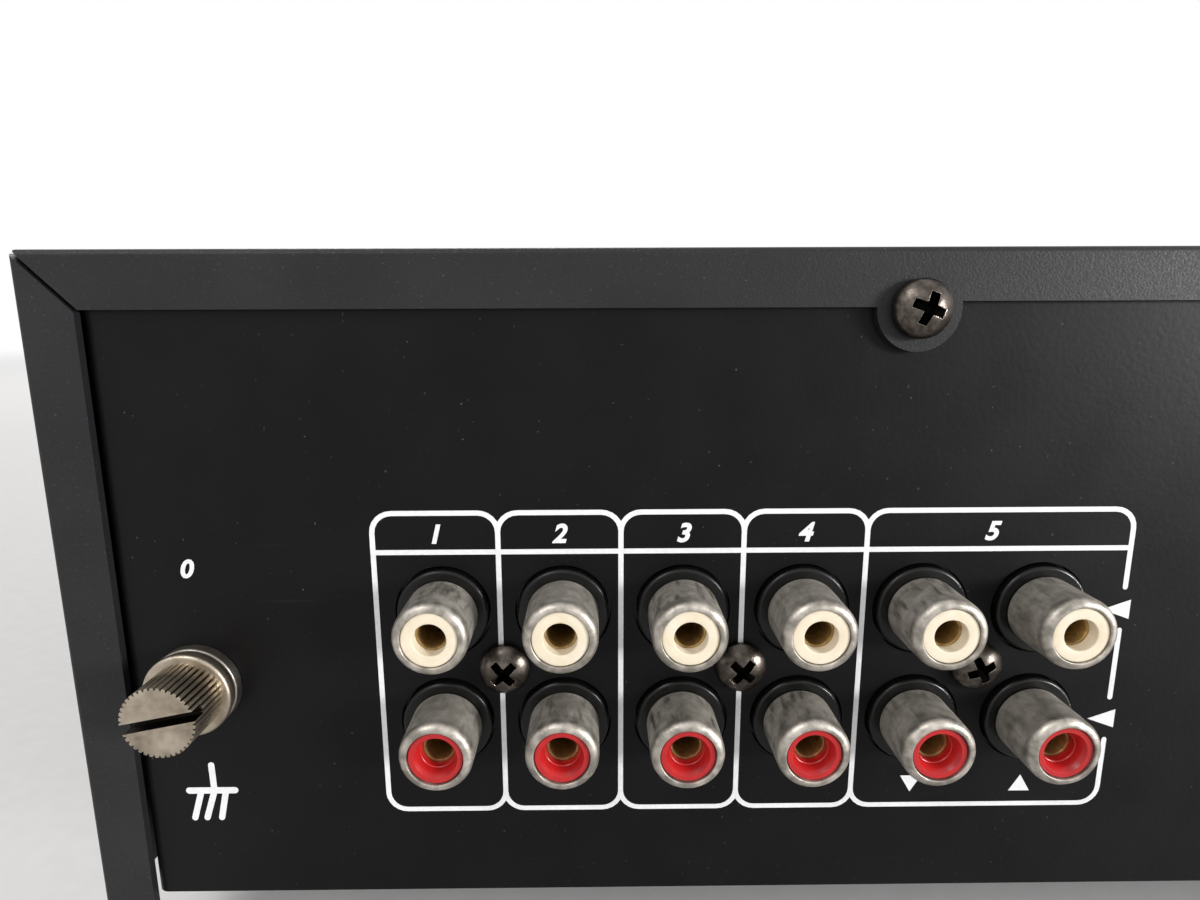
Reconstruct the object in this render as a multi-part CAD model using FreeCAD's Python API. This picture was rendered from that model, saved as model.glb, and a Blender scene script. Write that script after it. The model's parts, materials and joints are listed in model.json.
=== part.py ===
import FreeCAD
import Part
import math
import os
from FreeCAD import Placement, Rotation, Vector

# Integrated amplifier: a slim steel case with phono sockets, a ground terminal,
# speaker terminals and a mains inlet behind, and knobs and buttons in front.
# Millimetres. +Z is up, the front faces -Y, and the back faces +Y. The origin
# is at the middle of the whole object's footprint, on the floor.

os.makedirs("parts", exist_ok=True)

# ---- Driving dimensions -------------------------------------------------

# Case
case_width = 430.0
case_depth = 272.0             # back of the front panel to the outer face of the rear panel
cover_height = 80.0
cover_sheet = 1.0
panel_sheet = 1.2              # rear panel, chassis pan and front frame
fold_radius = 0.7              # outside of the cover's folded edges
bend_radius = 1.6              # outside of the rear panel's bent sides
sheet_fit = 0.3                # gap between sheets that slide past each other
cover_overhang = 1.6           # the cover's sides reach this far below the chassis
foot_height = 14.0

# Folded rear edge of the cover
lip_width = 6.2                # side lips
lip_drop = 6.3                 # top lip, outside the two screws
lip_drop_middle = 5.7          # top lip, between the two screws
mitre_gap = 0.5
tab_radius = 4.6
cover_screw_drop = 6.5         # screw centre below the cover's top
cover_screw_inset = 96.55      # screw centre from the cover's side
side_screw_inset = 45.0
side_screw_lift = 11.0

# Vents
vent_width = 3.0
vent_length = 46.0
vent_pitch = 7.0
vent_row_gap = 12.0
vent_margin = 8.0              # plain sheet kept around a group of vents

# Chassis pan and rear panel
side_flange = 19.0
end_flange = 8.0
end_flange_inset = 30.0        # the end flanges stop this far from the case's sides
panel_inset = 5.8              # edge of the rear panel from the cover's side
panel_return = 12.0            # rear panel's side flanges, bent forward
boss_radius = 4.0
boss_height = 8.0

# Front panel
front_thickness = 6.0
front_overhang = 1.2           # the front panel stands this far above the cover
front_edge = 1.2
front_seam = 0.4               # shadow line between the cover and the front panel
front_screw_inset = 20.0

# Feet
foot_radius = 23.0
foot_taper = 2.0
foot_inset_side = 50.0
foot_inset_front = 38.0
foot_inset_rear = 45.0
foot_recess_radius = 6.0
foot_recess_depth = 9.0

# Screws: head diameter, head height, shank diameter, shank length, cross length
cover_screw = (6.4, 2.4, 3.5, 8.0, 3.8)
terminal_screw = (6.0, 2.0, 3.0, 9.0, 2.9)
m3_screw = (5.6, 2.0, 3.0, 8.0, 2.8)
heavy_screw = (8.0, 2.8, 4.0, 8.0, 4.4)
small_screw = (5.4, 1.7, 2.6, 5.5, 2.6)
screw_fit = 0.05               # radial, in the hole that the thread cuts for itself
screw_play = 0.25              # radial, in the sheet or board that the screw clamps

# Phono sockets
jack_columns = 6
jack_pitch = 14.0
jack_inset = 43.75             # first column from the cover's side
jack_lift = 37.3               # upper row above the chassis
jack_collar_radius = 5.33
jack_collar_proud = 0.8
jack_shell_radius = 4.15
jack_shell_wall = 0.45
jack_shell_length = 7.7        # proud of the rear panel
jack_shell_root = 4.0          # length held in the block
jack_shell_neck = 0.2          # the held length is this much thinner, in radius
jack_shell_seam = 0.1          # between the collar and the full width of the shell
jack_lip_radius = 0.9
jack_mouth_radius = 3.15
jack_insert_radius = 3.035
jack_insert_recess = 0.4
jack_bore_radius = 1.825
jack_contact_radius = 1.6      # inner radius of the contact sleeve
jack_contact_recess = 1.5
jack_tail_radius = 0.6
jack_fit = 0.05
jack_panel_gap = 0.3
jack_block_margin = 6.2
jack_block_depth = 12.0
board_thickness = 1.6
input_board_margin = 5.0

# Ground terminal
ground_inset = 14.35           # from the cover's side
ground_lift = 28.4
ground_ring_radius = 5.1
ground_collar_height = 1.4
ground_bush_radius = 3.4
ground_bush_depth = 5.0
ground_wire_gap = 0.6
ground_washer_height = 1.0
ground_head_radius = 4.1
ground_head_height = 5.3
ground_knurl_teeth = 46
ground_knurl_depth = 0.25
ground_thread_radius = 1.95
ground_thread_fit = 0.08
ground_slot_width = 1.4
ground_slot_depth = 1.5
ground_slot_turn = 20.0

# Speaker terminals
speaker_gap = 75.0             # last phono column to the middle of the block
speaker_lift = 34.0
speaker_pitch = 19.0
speaker_plate_height = 34.0
speaker_plate_margin = 17.5    # plate beyond the outer lever's centre
speaker_plate_thickness = 2.4
speaker_body_height = 25.0
speaker_body_depth = 16.0
speaker_corner = 2.5
lever_width = 12.0
lever_play = 0.3               # each side, in the pocket
lever_length = 15.0
lever_thickness = 2.2
lever_rest_angle = 22.0
lever_pivot_in = 2.5           # behind the rear panel's face
lever_pivot_up = 3.5
lever_hub_radius = 1.7
lever_pin_radius = 1.2
lever_pin_length = 1.2
lever_pin_fit = 0.08
lever_arm_length = 8.0
lever_arm_thickness = 1.6
wire_hole_radius = 1.9
wire_hole_drop = 5.0
wire_wall = 1.5                # inner face of the wall with the wire holes, behind the panel
pocket_depth = 11.0
pocket_top = 9.0
pocket_floor = 9.2
contact_strip_width = 5.0
contact_strip_thickness = 0.6
contact_tail = 6.0

# Mains inlet
inlet_inset = 50.0
inlet_lift = 34.0
inlet_flange = (50.0, 24.0)
inlet_flange_thickness = 3.0
inlet_body = (28.0, 20.4)
inlet_recess = (24.6, 16.8)
inlet_recess_depth = 16.0
inlet_body_depth = 17.0
inlet_chamfer = 5.0
inlet_screw_pitch = 40.0
inlet_corner = 3.0
inlet_pin = (2.0, 4.0)
inlet_pin_pitch = 7.0
inlet_pin_offset = 2.0
inlet_pin_recess = 2.5
inlet_tail = 7.0

# Transformer
transformer_inset = 75.0       # its middle from the cover's side
transformer_setback = 77.0     # its middle from the rear panel
transformer_width = 84.0
transformer_stack = 44.0
transformer_yoke = 14.0
transformer_coil_overhang = 14.0
transformer_headroom = 7.0
strap_thickness = 1.5
strap_width = 32.0
strap_foot = 15.0
strap_screw_pitch = 20.0
coil_fit = 0.3

# Main circuit board and what stands on it
main_board_gap = 18.0          # from the transformer's strap
main_board_inset = 22.0        # from the cover's side
main_board_front = 34.0        # from the front panel
main_board_rear = 38.0         # from the rear panel
main_board_hole_inset = 8.0
heat_sink_margin = 53.1        # its ends from the board's ends
heat_sink_plate = 5.0
heat_sink_fin = 2.0
heat_sink_fin_length = 32.0
heat_sink_pitch = 10.0
heat_sink_headroom = 9.0
heat_sink_forward = 6.0        # its plate in front of the board's middle
transistor_size = (15.6, 4.8, 20.0)
transistor_lift = 14.0
transistor_margin = 12.0       # outer ones' centres from the heat sink's ends
transistor_lead = 1.2
transistor_lead_pitch = 5.4
capacitor_radius = 15.0
capacitor_height = 42.0
capacitor_inset = 22.0
capacitor_pitch = 36.0
relay_size = (28.0, 12.5, 25.0)
relay_ahead = 20.0             # in front of the board's rear edge
relay_gap = 2.0                # at least this far from the last capacitor
fuse_radius = 2.6
fuse_length = 20.0
fuse_lift = 5.0
fuse_clip_length = 5.0
fuse_clip_wall = 0.5
fuse_pitch = 14.0
fuse_inset = 22.0

# Controls
volume_inset = 50.0            # from the cover's side on the sockets' side
selector_gap = 60.0
button_gap = 40.0
button_pitch = 20.0
power_inset = 30.0             # from the cover's other side
phones_gap = 30.0
tone_gap = 35.0
tone_pitch = 32.0
lamp_lift = 16.0
shaft_radius = 3.0
shaft_fit = 0.06
shaft_panel_play = 1.0
knob_seam = 0.8                # between a knob and the front panel
knob_fit = 0.03
volume_knob = (19.0, 17.2)     # radius, length
selector_knob = (13.0, 15.0)
tone_knob = (8.5, 14.0)
knob_edge = 1.0
knob_socket = 3.0              # solid front left beyond the shaft's end
knob_skirt_wall = 2.0
knob_hub_wall = 2.5
knob_hollow_depth = 6.0
pointer_width = 1.4
pointer_depth = 0.8
volume_start = -150.0          # pointer's place at rest, clockwise from the top
volume_pot = (25.0, 12.0)      # square, depth
tone_pot = (17.0, 9.0)
selector_switch = (27.0, 15.0)
shaft_seat = 7.0               # length of shaft held inside its pot or switch
power_button = (18.0, 12.0)
function_button = (12.0, 7.0)
button_corner = 1.0
button_proud = 3.5
button_root = 1.5
button_play = 0.35
stem_size = (5.0, 4.0)
stem_reach = 7.0               # into the switch
stem_play = 0.1
stem_panel_play = 0.8
mains_switch = (18.0, 20.0, 32.0)
function_switch = (10.0, 10.0, 15.0)
switch_bore_margin = 5.0       # the bore is deeper than the stem at rest
phones_bore_radius = 3.2
phones_barrel_radius = 5.5
phones_bezel_radius = 7.0
phones_bezel_proud = 1.5
phones_body = (16.0, 18.0, 26.0)
phones_bore_depth = 31.0
lamp_radius = 1.5
lamp_proud = 0.6
control_board_margin = 14.0
control_board_height = 46.0
ribbon_width = 20.0
ribbon_thickness = 1.0
ribbon_sag = 9.0

# ---- Levels and faces worked out from them ------------------------------

half_width = case_width / 2
chassis_z = foot_height
cover_z = chassis_z - cover_overhang
cover_top = cover_z + cover_height
inner_top = cover_top - cover_sheet
pan_top = chassis_z + panel_sheet

lever_tilt = math.radians(lever_rest_angle)
lever_reach = lever_length * math.cos(lever_tilt) + lever_thickness / 2 * math.sin(lever_tilt)
rear_proud = lever_reach - lever_pivot_in
front_proud = knob_seam + volume_knob[1]
total_depth = front_proud + front_thickness + case_depth + rear_proud
rear_y = total_depth / 2 - rear_proud           # outer face of the rear panel
front_back_y = rear_y - case_depth              # back of the front panel
front_y = front_back_y - front_thickness        # face of the front panel
frame_back_y = front_back_y + panel_sheet       # back of the front frame
pan_rear_y = rear_y - panel_sheet

panel_half = half_width - panel_inset
control_z = cover_z + cover_height / 2
jack_x = [half_width - jack_inset - jack_pitch * n for n in range(jack_columns)]
jack_rows = [chassis_z + jack_lift, chassis_z + jack_lift - jack_pitch]
jack_blocks_x = [(jack_x[n] + jack_x[n + 1]) / 2 for n in range(0, jack_columns, 2)]
jack_block_z = sum(jack_rows) / 2
ground_x = half_width - ground_inset
ground_z = chassis_z + ground_lift
speaker_x = jack_x[-1] - speaker_gap
speaker_z = chassis_z + speaker_lift
lever_x = [speaker_x + speaker_pitch * (1.5 - n) for n in range(4)]
inlet_x = inlet_inset - half_width
inlet_z = chassis_z + inlet_lift
cover_screw_x = [half_width - cover_screw_inset, cover_screw_inset - half_width]
cover_screw_z = cover_top - cover_screw_drop
side_screw_y = [front_back_y + side_screw_inset, rear_y - side_screw_inset]
side_screw_z = chassis_z + side_screw_lift
foot_places = [
    (side * (half_width - foot_inset_side), y)
    for side in (-1, 1)
    for y in (front_back_y + foot_inset_front, rear_y - foot_inset_rear)
]

volume_x = half_width - volume_inset
selector_x = volume_x - selector_gap
function_x = [selector_x - button_gap, selector_x - button_gap - button_pitch]
power_x = power_inset - half_width
phones_x = power_x + phones_gap
tone_x = [phones_x + tone_gap + tone_pitch * n for n in range(3)]
front_screw_rise = control_z - cover_z - front_screw_inset / 2
front_screws = [
    (side * (half_width - front_screw_inset), control_z + end * front_screw_rise)
    for side in (-1, 1)
    for end in (-1, 1)
]

transformer_x = transformer_inset - half_width
transformer_y = rear_y - transformer_setback
transformer_top = inner_top - transformer_headroom
strap_half = transformer_width / 2 + coil_fit + strap_thickness
board_x = (transformer_x + strap_half + strap_foot + main_board_gap, half_width - main_board_inset)
board_y = (front_back_y + main_board_front, rear_y - main_board_rear)
board_z = (pan_top + boss_height, pan_top + boss_height + board_thickness)
board_mid_x = sum(board_x) / 2
board_mid_y = sum(board_y) / 2
board_holes = [
    (x, y)
    for x in (board_x[0] + main_board_hole_inset, board_mid_x, board_x[1] - main_board_hole_inset)
    for y in (board_y[0] + main_board_hole_inset, board_y[1] - main_board_hole_inset)
]
sink_x = (board_x[0] + heat_sink_margin, board_x[1] - heat_sink_margin)
sink_length = sink_x[1] - sink_x[0]
sink_y = board_mid_y - heat_sink_forward
transistor_step = (sink_length - 2 * transistor_margin) / 3
transistor_x = [board_mid_x + transistor_step * (1.5 - n) for n in range(4)]
transistor_hole_z = board_z[1] + transistor_lift + transistor_size[2] * 0.8
capacitor_x = [board_x[0] + capacitor_inset + capacitor_pitch * n for n in range(2)]
relay_x = max(speaker_x, capacitor_x[-1] + capacitor_radius + relay_gap + relay_size[0] / 2)
control_board_y = frame_back_y + selector_switch[1]
input_board_y = pan_rear_y - jack_block_depth

UP = Vector(0, 0, 1)
DOWN = Vector(0, 0, -1)
BACK = Vector(0, 1, 0)
FRONT = Vector(0, -1, 0)
RIGHT = Vector(1, 0, 0)


# ---- Shapes -------------------------------------------------------------

def block(x, y, z):
    """A box from three (low, high) pairs."""
    corner = Vector(x[0], y[0], z[0])
    return Part.makeBox(x[1] - x[0], y[1] - y[0], z[1] - z[0], corner)


def about(middle, half):
    """The (low, high) pair that lies half each side of a middle."""
    return (middle - half, middle + half)


def rod(radius, start, end):
    """A round bar from one point to another."""
    axis = Vector(*end) - Vector(*start)
    return Part.makeCylinder(radius, axis.Length, Vector(*start), axis)


def rod_y(radius, x, z, y):
    """A round bar along Y."""
    return rod(radius, (x, y[0], z), (x, y[1], z))


def rod_z(radius, x, y, z):
    """A round bar along Z."""
    return rod(radius, (x, y, z[0]), (x, y, z[1]))


def aim(shape, point, direction):
    """A shape made along +Z from the origin, moved to a point and turned to a direction."""
    shape.Placement = Placement(Vector(*point), Rotation(UP, direction))
    return shape


def turned(outline, point, direction):
    """A turned solid. The outline is (radius, height) points; a middle point marks an arc."""
    edges = []
    for start, end, *middle in outline:
        ends = [Vector(start[0], 0, start[1]), Vector(end[0], 0, end[1])]
        if middle:
            through = Vector(middle[0][0], 0, middle[0][1])
            edges.append(Part.Arc(ends[0], through, ends[1]).toShape())
        else:
            edges.append(Part.makeLine(*ends))
    face = Part.Face(Part.Wire(edges))
    return aim(face.revolve(Vector(0, 0, 0), UP, 360), point, direction)


def ring_path(points):
    """Straight sides of an outline that returns to its first point."""
    return list(zip(points, points[1:] + points[:1]))


def rounded_plate(x, y, z, radius):
    """A plate that lies in XZ, with rounded corners."""
    plate = block(x, y, z)
    corners = [edge for edge in plate.Edges if abs(edge.tangentAt(edge.FirstParameter).y) > 0.9]
    return plate.makeFillet(radius, corners)


def joined(shapes):
    """Several overlapping solids as one."""
    result = shapes[0].multiFuse(shapes[1:])
    return result.removeSplitter()


def pan_screw(sizes, point, direction, turn=0.0):
    """A round-topped screw with a cross recess. The point is under its head."""
    head_diameter, head_height, shank_diameter, length, cross = sizes
    head = head_diameter / 2
    shank = shank_diameter / 2
    rim = head_height * 0.4
    shoulder = (head * 0.75, head_height * 0.86)
    outline = [
        ((0, -length), (shank, -length)),
        ((shank, -length), (shank, 0)),
        ((shank, 0), (head, 0)),
        ((head, 0), (head, rim)),
        ((head, rim), (0, head_height), shoulder),
        ((0, head_height), (0, -length)),
    ]
    screw = turned(outline, (0, 0, 0), UP)
    depth = head_height * 0.65
    slot_width = cross * 0.24
    for angle in (turn, turn + 90):
        slot = block(about(0, cross / 2), about(0, slot_width / 2), (head_height - depth, head_height + 1))
        slot.rotate(Vector(0, 0, 0), UP, angle)
        screw = screw.cut(slot)
    return aim(screw, point, direction)


def screw_hole(sizes, play, point, direction, depth):
    """The hole for a screw: the point is under its head, and the direction points at the head."""
    start = Vector(*point) + direction
    end = Vector(*point) - direction * depth
    return rod(sizes[2] / 2 + play, start, end)


def save(node, shapes):
    """Write one node, as one solid or as a group of separate solids."""
    shapes = shapes if isinstance(shapes, list) else [shapes]
    solids = [solid for shape in shapes for solid in shape.Solids]
    Part.makeCompound(solids).exportStep("parts/" + node + ".step")
    print(node, len(solids), "solids", round(sum(solid.Volume for solid in solids), 1), "mm3")


# ---- Case ---------------------------------------------------------------

def vent_slots(x, y, z):
    """Rows of rounded slots that fill a rectangle, centred in it."""
    columns = int((x[1] - x[0] - vent_width) // vent_pitch) + 1
    rows = int((y[1] - y[0] + vent_row_gap) // (vent_length + vent_row_gap))
    first_x = sum(x) / 2 - vent_pitch * (columns - 1) / 2
    row_step = vent_length + vent_row_gap
    first_y = sum(y) / 2 - row_step * (rows - 1) / 2
    straight = vent_length / 2 - vent_width / 2
    slots = []
    for column in range(columns):
        for row in range(rows):
            at_x = first_x + vent_pitch * column
            at_y = first_y + row_step * row
            slot = block(about(at_x, vent_width / 2), about(at_y, straight), z)
            ends = [rod_z(vent_width / 2, at_x, at_y + end * straight, z) for end in (-1, 1)]
            slots.append(joined([slot] + ends))
    return Part.makeCompound(slots)


def mitre_cut(side):
    """The open seam where the cover's side lip meets its top lip."""
    reach = lip_drop * 2
    depth = (rear_y - mitre_gap, rear_y + cover_sheet + 1)
    seam = block((-reach, mitre_gap), depth, about(0, mitre_gap / 2))
    seam.rotate(Vector(0, rear_y, 0), BACK, -45)
    seam.translate(Vector(half_width, 0, cover_top))
    if side < 0:
        seam = seam.mirror(Vector(0, 0, 0), RIGHT)
    return seam


def top_cover():
    """The folded cover: a top, two sides and a rear lip all round."""
    cover_y = (front_back_y + front_seam, rear_y + cover_sheet)
    cover = block(about(0, half_width), cover_y, (cover_z, cover_top))
    outside = []
    for edge in cover.Edges:
        middle = edge.CenterOfMass
        on_top = abs(middle.z - cover_top) < 0.01
        on_side = abs(abs(middle.x) - half_width) < 0.01
        at_rear = abs(middle.y - cover_y[1]) < 0.01
        if [on_top, on_side, at_rear].count(True) == 2 and middle.z > cover_z + 1:
            outside.append(edge)
    outside = [edge for edge in outside if abs(edge.CenterOfMass.y - cover_y[0]) > 1]
    cover = cover.makeFillet(fold_radius, outside)

    inner_half = half_width - cover_sheet
    hollow = block(about(0, inner_half), (cover_y[0] - 1, rear_y), (cover_z - 1, inner_top))
    window_y = (rear_y - 1, rear_y + 2)
    window = block(about(0, half_width - lip_width), window_y, (cover_z - 1, cover_top - lip_drop))
    step = block(about(0, cover_screw_x[0]), window_y, (cover_z, cover_top - lip_drop_middle))
    cover = cover.cut([hollow, window, step])

    tabs = [rod_y(tab_radius, x, cover_screw_z, (rear_y, rear_y + cover_sheet)) for x in cover_screw_x]
    cover = joined([cover] + tabs)

    cuts = [mitre_cut(1), mitre_cut(-1)]
    for x in cover_screw_x:
        seat = (x, rear_y + cover_sheet, cover_screw_z)
        cuts.append(screw_hole(cover_screw, screw_play, seat, BACK, cover_sheet + 1))
    for side in (-1, 1):
        for y in side_screw_y:
            seat = (side * half_width, y, side_screw_z)
            cuts.append(screw_hole(cover_screw, screw_play, seat, RIGHT * side, cover_sheet + 1))
    through = (inner_top - 1, cover_top + 1)
    sink_rear = sink_y + heat_sink_plate + heat_sink_fin_length
    over_sink_y = about((sink_y + sink_rear) / 2, vent_length + vent_row_gap / 2)
    coil_half = transformer_stack / 2 + transformer_coil_overhang
    over_coil_x = about(transformer_x, transformer_width / 2 - vent_margin)
    over_coil_y = about(transformer_y, coil_half)
    cuts.append(vent_slots(sink_x, over_sink_y, through))
    cuts.append(vent_slots(over_coil_x, over_coil_y, through))
    return cover.cut(cuts)


def chassis_pan():
    """The steel floor, with flanges turned up all round and bosses for the main board."""
    half = half_width - cover_sheet - sheet_fit
    pan_y = (frame_back_y, pan_rear_y)
    notch = panel_return + sheet_fit
    end_half = half_width - end_flange_inset
    end_z = (chassis_z, chassis_z + end_flange)
    side_z = (chassis_z, chassis_z + side_flange)
    pieces = [
        block(about(0, half), pan_y, (chassis_z, pan_top)),
        block(about(0, end_half), (pan_y[0], pan_y[0] + panel_sheet), end_z),
        block(about(0, end_half), (pan_y[1] - panel_sheet, pan_y[1]), end_z),
        block((half - panel_sheet, half), (pan_y[0], rear_y - notch), side_z),
        block((-half, panel_sheet - half), (pan_y[0], rear_y - notch), side_z),
    ]
    pieces += [rod_z(boss_radius, x, y, (pan_top, board_z[0])) for x, y in board_holes]
    pan = joined(pieces)

    cuts = []
    for side in (-1, 1):
        corner = [side * (panel_half - panel_sheet - sheet_fit), side * (half + 1)]
        notch_z = (chassis_z - 1, chassis_z + side_flange)
        cuts.append(block(sorted(corner), (rear_y - notch, rear_y), notch_z))
        for y in side_screw_y:
            seat = (side * half_width, y, side_screw_z)
            cuts.append(screw_hole(cover_screw, screw_fit, seat, RIGHT * side, cover_screw[3] + 1))
    for x, y in board_holes:
        cuts.append(screw_hole(m3_screw, screw_fit, (x, y, board_z[1]), UP, m3_screw[3] + 1))
    for x, y in foot_places:
        seat = (x, y, foot_recess_depth)
        cuts.append(screw_hole(heavy_screw, screw_fit, seat, DOWN, heavy_screw[3] + 2))
    for x, y in strap_screws():
        seat = (x, y, pan_top + strap_thickness)
        cuts.append(screw_hole(heavy_screw, screw_fit, seat, UP, heavy_screw[3] + 1))
    sink_rear = sink_y + heat_sink_plate + heat_sink_fin_length
    under_sink_y = (sink_y - vent_margin, sink_rear + vent_margin)
    cuts.append(vent_slots(sink_x, under_sink_y, (chassis_z - 1, pan_top + 1)))
    return pan.cut(cuts)


def rear_panel():
    """The back of the case, with its sides bent forward."""
    outer_z = (chassis_z, inner_top - sheet_fit)
    tray = block(about(0, panel_half), (rear_y - panel_return, rear_y), outer_z)
    edges = []
    for edge in tray.Edges:
        middle = edge.CenterOfMass
        if abs(middle.y - rear_y) < 0.01 and abs(abs(middle.x) - panel_half) < 0.01:
            edges.append(edge)
    tray = tray.makeFillet(bend_radius, edges)
    hollow_y = (rear_y - panel_return - 1, pan_rear_y)
    panel = tray.cut(block(about(0, panel_half - panel_sheet), hollow_y, (0, cover_top)))

    through = (pan_rear_y - 1, rear_y + 1)
    cuts = []
    for x in jack_x:
        for z in jack_rows:
            cuts.append(rod_y(jack_collar_radius + jack_panel_gap, x, z, through))
    for x in jack_blocks_x:
        seat = (x, rear_y, jack_block_z)
        cuts.append(screw_hole(terminal_screw, screw_play, seat, BACK, panel_sheet + 1))
    for x in cover_screw_x:
        seat = (x, rear_y + cover_sheet, cover_screw_z)
        cuts.append(screw_hole(cover_screw, screw_fit, seat, BACK, cover_screw[3]))
    cuts.append(rod_y(ground_bush_radius + screw_fit, ground_x, ground_z, through))
    body_half = speaker_body_half() + sheet_fit
    body_z = about(speaker_z, speaker_body_height / 2 + sheet_fit)
    cuts.append(block(about(speaker_x, body_half), through, body_z))
    for x in speaker_screw_x():
        seat = (x, rear_y + speaker_plate_thickness, speaker_z)
        cuts.append(screw_hole(terminal_screw, screw_fit, seat, BACK, terminal_screw[3]))
    inlet_half = [size / 2 + sheet_fit for size in inlet_body]
    cuts.append(block(about(inlet_x, inlet_half[0]), through, about(inlet_z, inlet_half[1])))
    for x in about(inlet_x, inlet_screw_pitch / 2):
        seat = (x, rear_y + inlet_flange_thickness, inlet_z)
        cuts.append(screw_hole(m3_screw, screw_fit, seat, BACK, m3_screw[3]))
    return panel.cut(cuts)


def front_frame():
    """The steel plate behind the front panel, which carries the controls."""
    half = half_width - cover_sheet - sheet_fit
    top = inner_top - sheet_fit
    plate = block(about(0, half), (front_back_y, frame_back_y), (chassis_z, top))
    flange_half = half_width - end_flange_inset
    flange_y = (front_back_y, frame_back_y + end_flange)
    flange = block(about(0, flange_half), flange_y, (top - panel_sheet, top))
    frame = joined([plate, flange])

    through = (front_back_y - 1, frame_back_y + 1)
    cuts = []
    for x in [volume_x, selector_x] + tone_x:
        cuts.append(rod_y(shaft_radius + shaft_panel_play, x, control_z, through))
    stem_half = [size / 2 + stem_panel_play for size in stem_size]
    for x in [power_x] + function_x:
        cuts.append(block(about(x, stem_half[0]), through, about(control_z, stem_half[1])))
    cuts.append(rod_y(phones_barrel_radius + sheet_fit, phones_x, control_z, through))
    cuts.append(rod_y(lamp_radius + screw_fit, power_x, control_z + lamp_lift, through))
    for x, z in front_screws:
        cuts.append(screw_hole(small_screw, screw_play, (x, frame_back_y, z), BACK, panel_sheet + 1))
    return frame.cut(cuts)


def front_panel():
    """The thick aluminium front."""
    panel_z = (cover_z, cover_top + front_overhang)
    panel = block(about(0, half_width), (front_y, front_back_y), panel_z)
    face_edges = [edge for edge in panel.Edges if abs(edge.CenterOfMass.y - front_y) < 0.01]
    panel = panel.makeFillet(front_edge, face_edges)

    through = (front_y - 1, front_back_y + 1)
    cuts = []
    for x in [volume_x, selector_x] + tone_x:
        cuts.append(rod_y(shaft_radius + shaft_panel_play, x, control_z, through))
    for x, size in buttons():
        half = [side / 2 + button_play for side in size]
        cuts.append(rounded_plate(about(x, half[0]), through, about(control_z, half[1]), button_corner))
    cuts.append(rod_y(phones_barrel_radius + sheet_fit, phones_x, control_z, through))
    cuts.append(rod_y(lamp_radius + screw_fit, power_x, control_z + lamp_lift, through))
    for x, z in front_screws:
        seat = (x, frame_back_y, z)
        cuts.append(screw_hole(small_screw, screw_fit, seat, BACK, small_screw[3] + screw_play))
    return panel.cut(cuts)


def foot(x, y):
    """A tapered rubber foot, hollow below for its screw."""
    narrow = foot_radius - foot_taper
    body = Part.makeCone(narrow, foot_radius, foot_height, Vector(x, y, 0), UP)
    recess = rod_z(foot_recess_radius, x, y, (-1, foot_recess_depth))
    hole = rod_z(heavy_screw[2] / 2 + screw_play, x, y, (0, foot_height + 1))
    return body.cut([recess, hole])


def strap_screws():
    """Places of the four screws in the transformer strap's feet."""
    return [
        (transformer_x + side * (strap_half + strap_foot / 2), transformer_y + end * strap_screw_pitch / 2)
        for side in (-1, 1)
        for end in (-1, 1)
    ]


# ---- Phono sockets ------------------------------------------------------

def jack_block(x):
    """The moulded block that holds four sockets, with a collar for each."""
    half = jack_pitch / 2 + jack_block_margin
    body_y = (pan_rear_y - jack_block_depth, pan_rear_y)
    pieces = [block(about(x, half), body_y, about(jack_block_z, half))]
    centres = [(x + side * jack_pitch / 2, z) for side in (-1, 1) for z in jack_rows]
    rounding = jack_collar_proud / 2
    outer = jack_collar_radius
    high = panel_sheet + jack_collar_proud
    outline = [
        ((0, -1), (outer, -1)),
        ((outer, -1), (outer, high - rounding)),
        (
            (outer, high - rounding),
            (outer - rounding, high),
            (outer - rounding * (1 - math.sqrt(0.5)), high - rounding * (1 - math.sqrt(0.5))),
        ),
        ((outer - rounding, high), (0, high)),
        ((0, high), (0, -1)),
    ]
    pieces += [turned(outline, (cx, pan_rear_y, cz), BACK) for cx, cz in centres]
    cuts = []
    for cx, cz in centres:
        bore = (rear_y - jack_shell_root, rear_y + jack_collar_proud + 1)
        cuts.append(rod_y(jack_shell_radius - jack_shell_neck + jack_fit, cx, cz, bore))
        cuts.append(rod_y(jack_tail_radius + jack_fit, cx, cz, (body_y[0] - 1, rear_y)))
    seat = (x, rear_y, jack_block_z)
    cuts.append(screw_hole(terminal_screw, screw_fit, seat, BACK, terminal_screw[3] + 1))
    return joined(pieces).cut(cuts)


def jack_shell(x, z):
    """The plated outer contact: a thin barrel with its front edge rolled inwards."""
    outer = jack_shell_radius
    inner = outer - jack_shell_wall
    mouth = jack_mouth_radius
    low = -jack_shell_root
    high = jack_shell_length
    roll = jack_lip_radius
    back_of_roll = high - 2 * jack_shell_wall
    bulge = roll * (1 - math.sqrt(0.5))
    neck = outer - jack_shell_neck
    seat = jack_collar_proud + jack_shell_seam
    outline = [
        ((inner, low), (neck, low)),
        ((neck, low), (neck, seat)),
        ((neck, seat), (outer, seat)),
        ((outer, seat), (outer, high - roll)),
        ((outer, high - roll), (outer - roll, high), (outer - bulge, high - bulge)),
        ((outer - roll, high), (mouth, high)),
        ((mouth, high), (mouth, back_of_roll)),
        ((mouth, back_of_roll), (inner, back_of_roll)),
        ((inner, back_of_roll), (inner, low)),
    ]
    return turned(outline, (x, rear_y, z), BACK)


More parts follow.
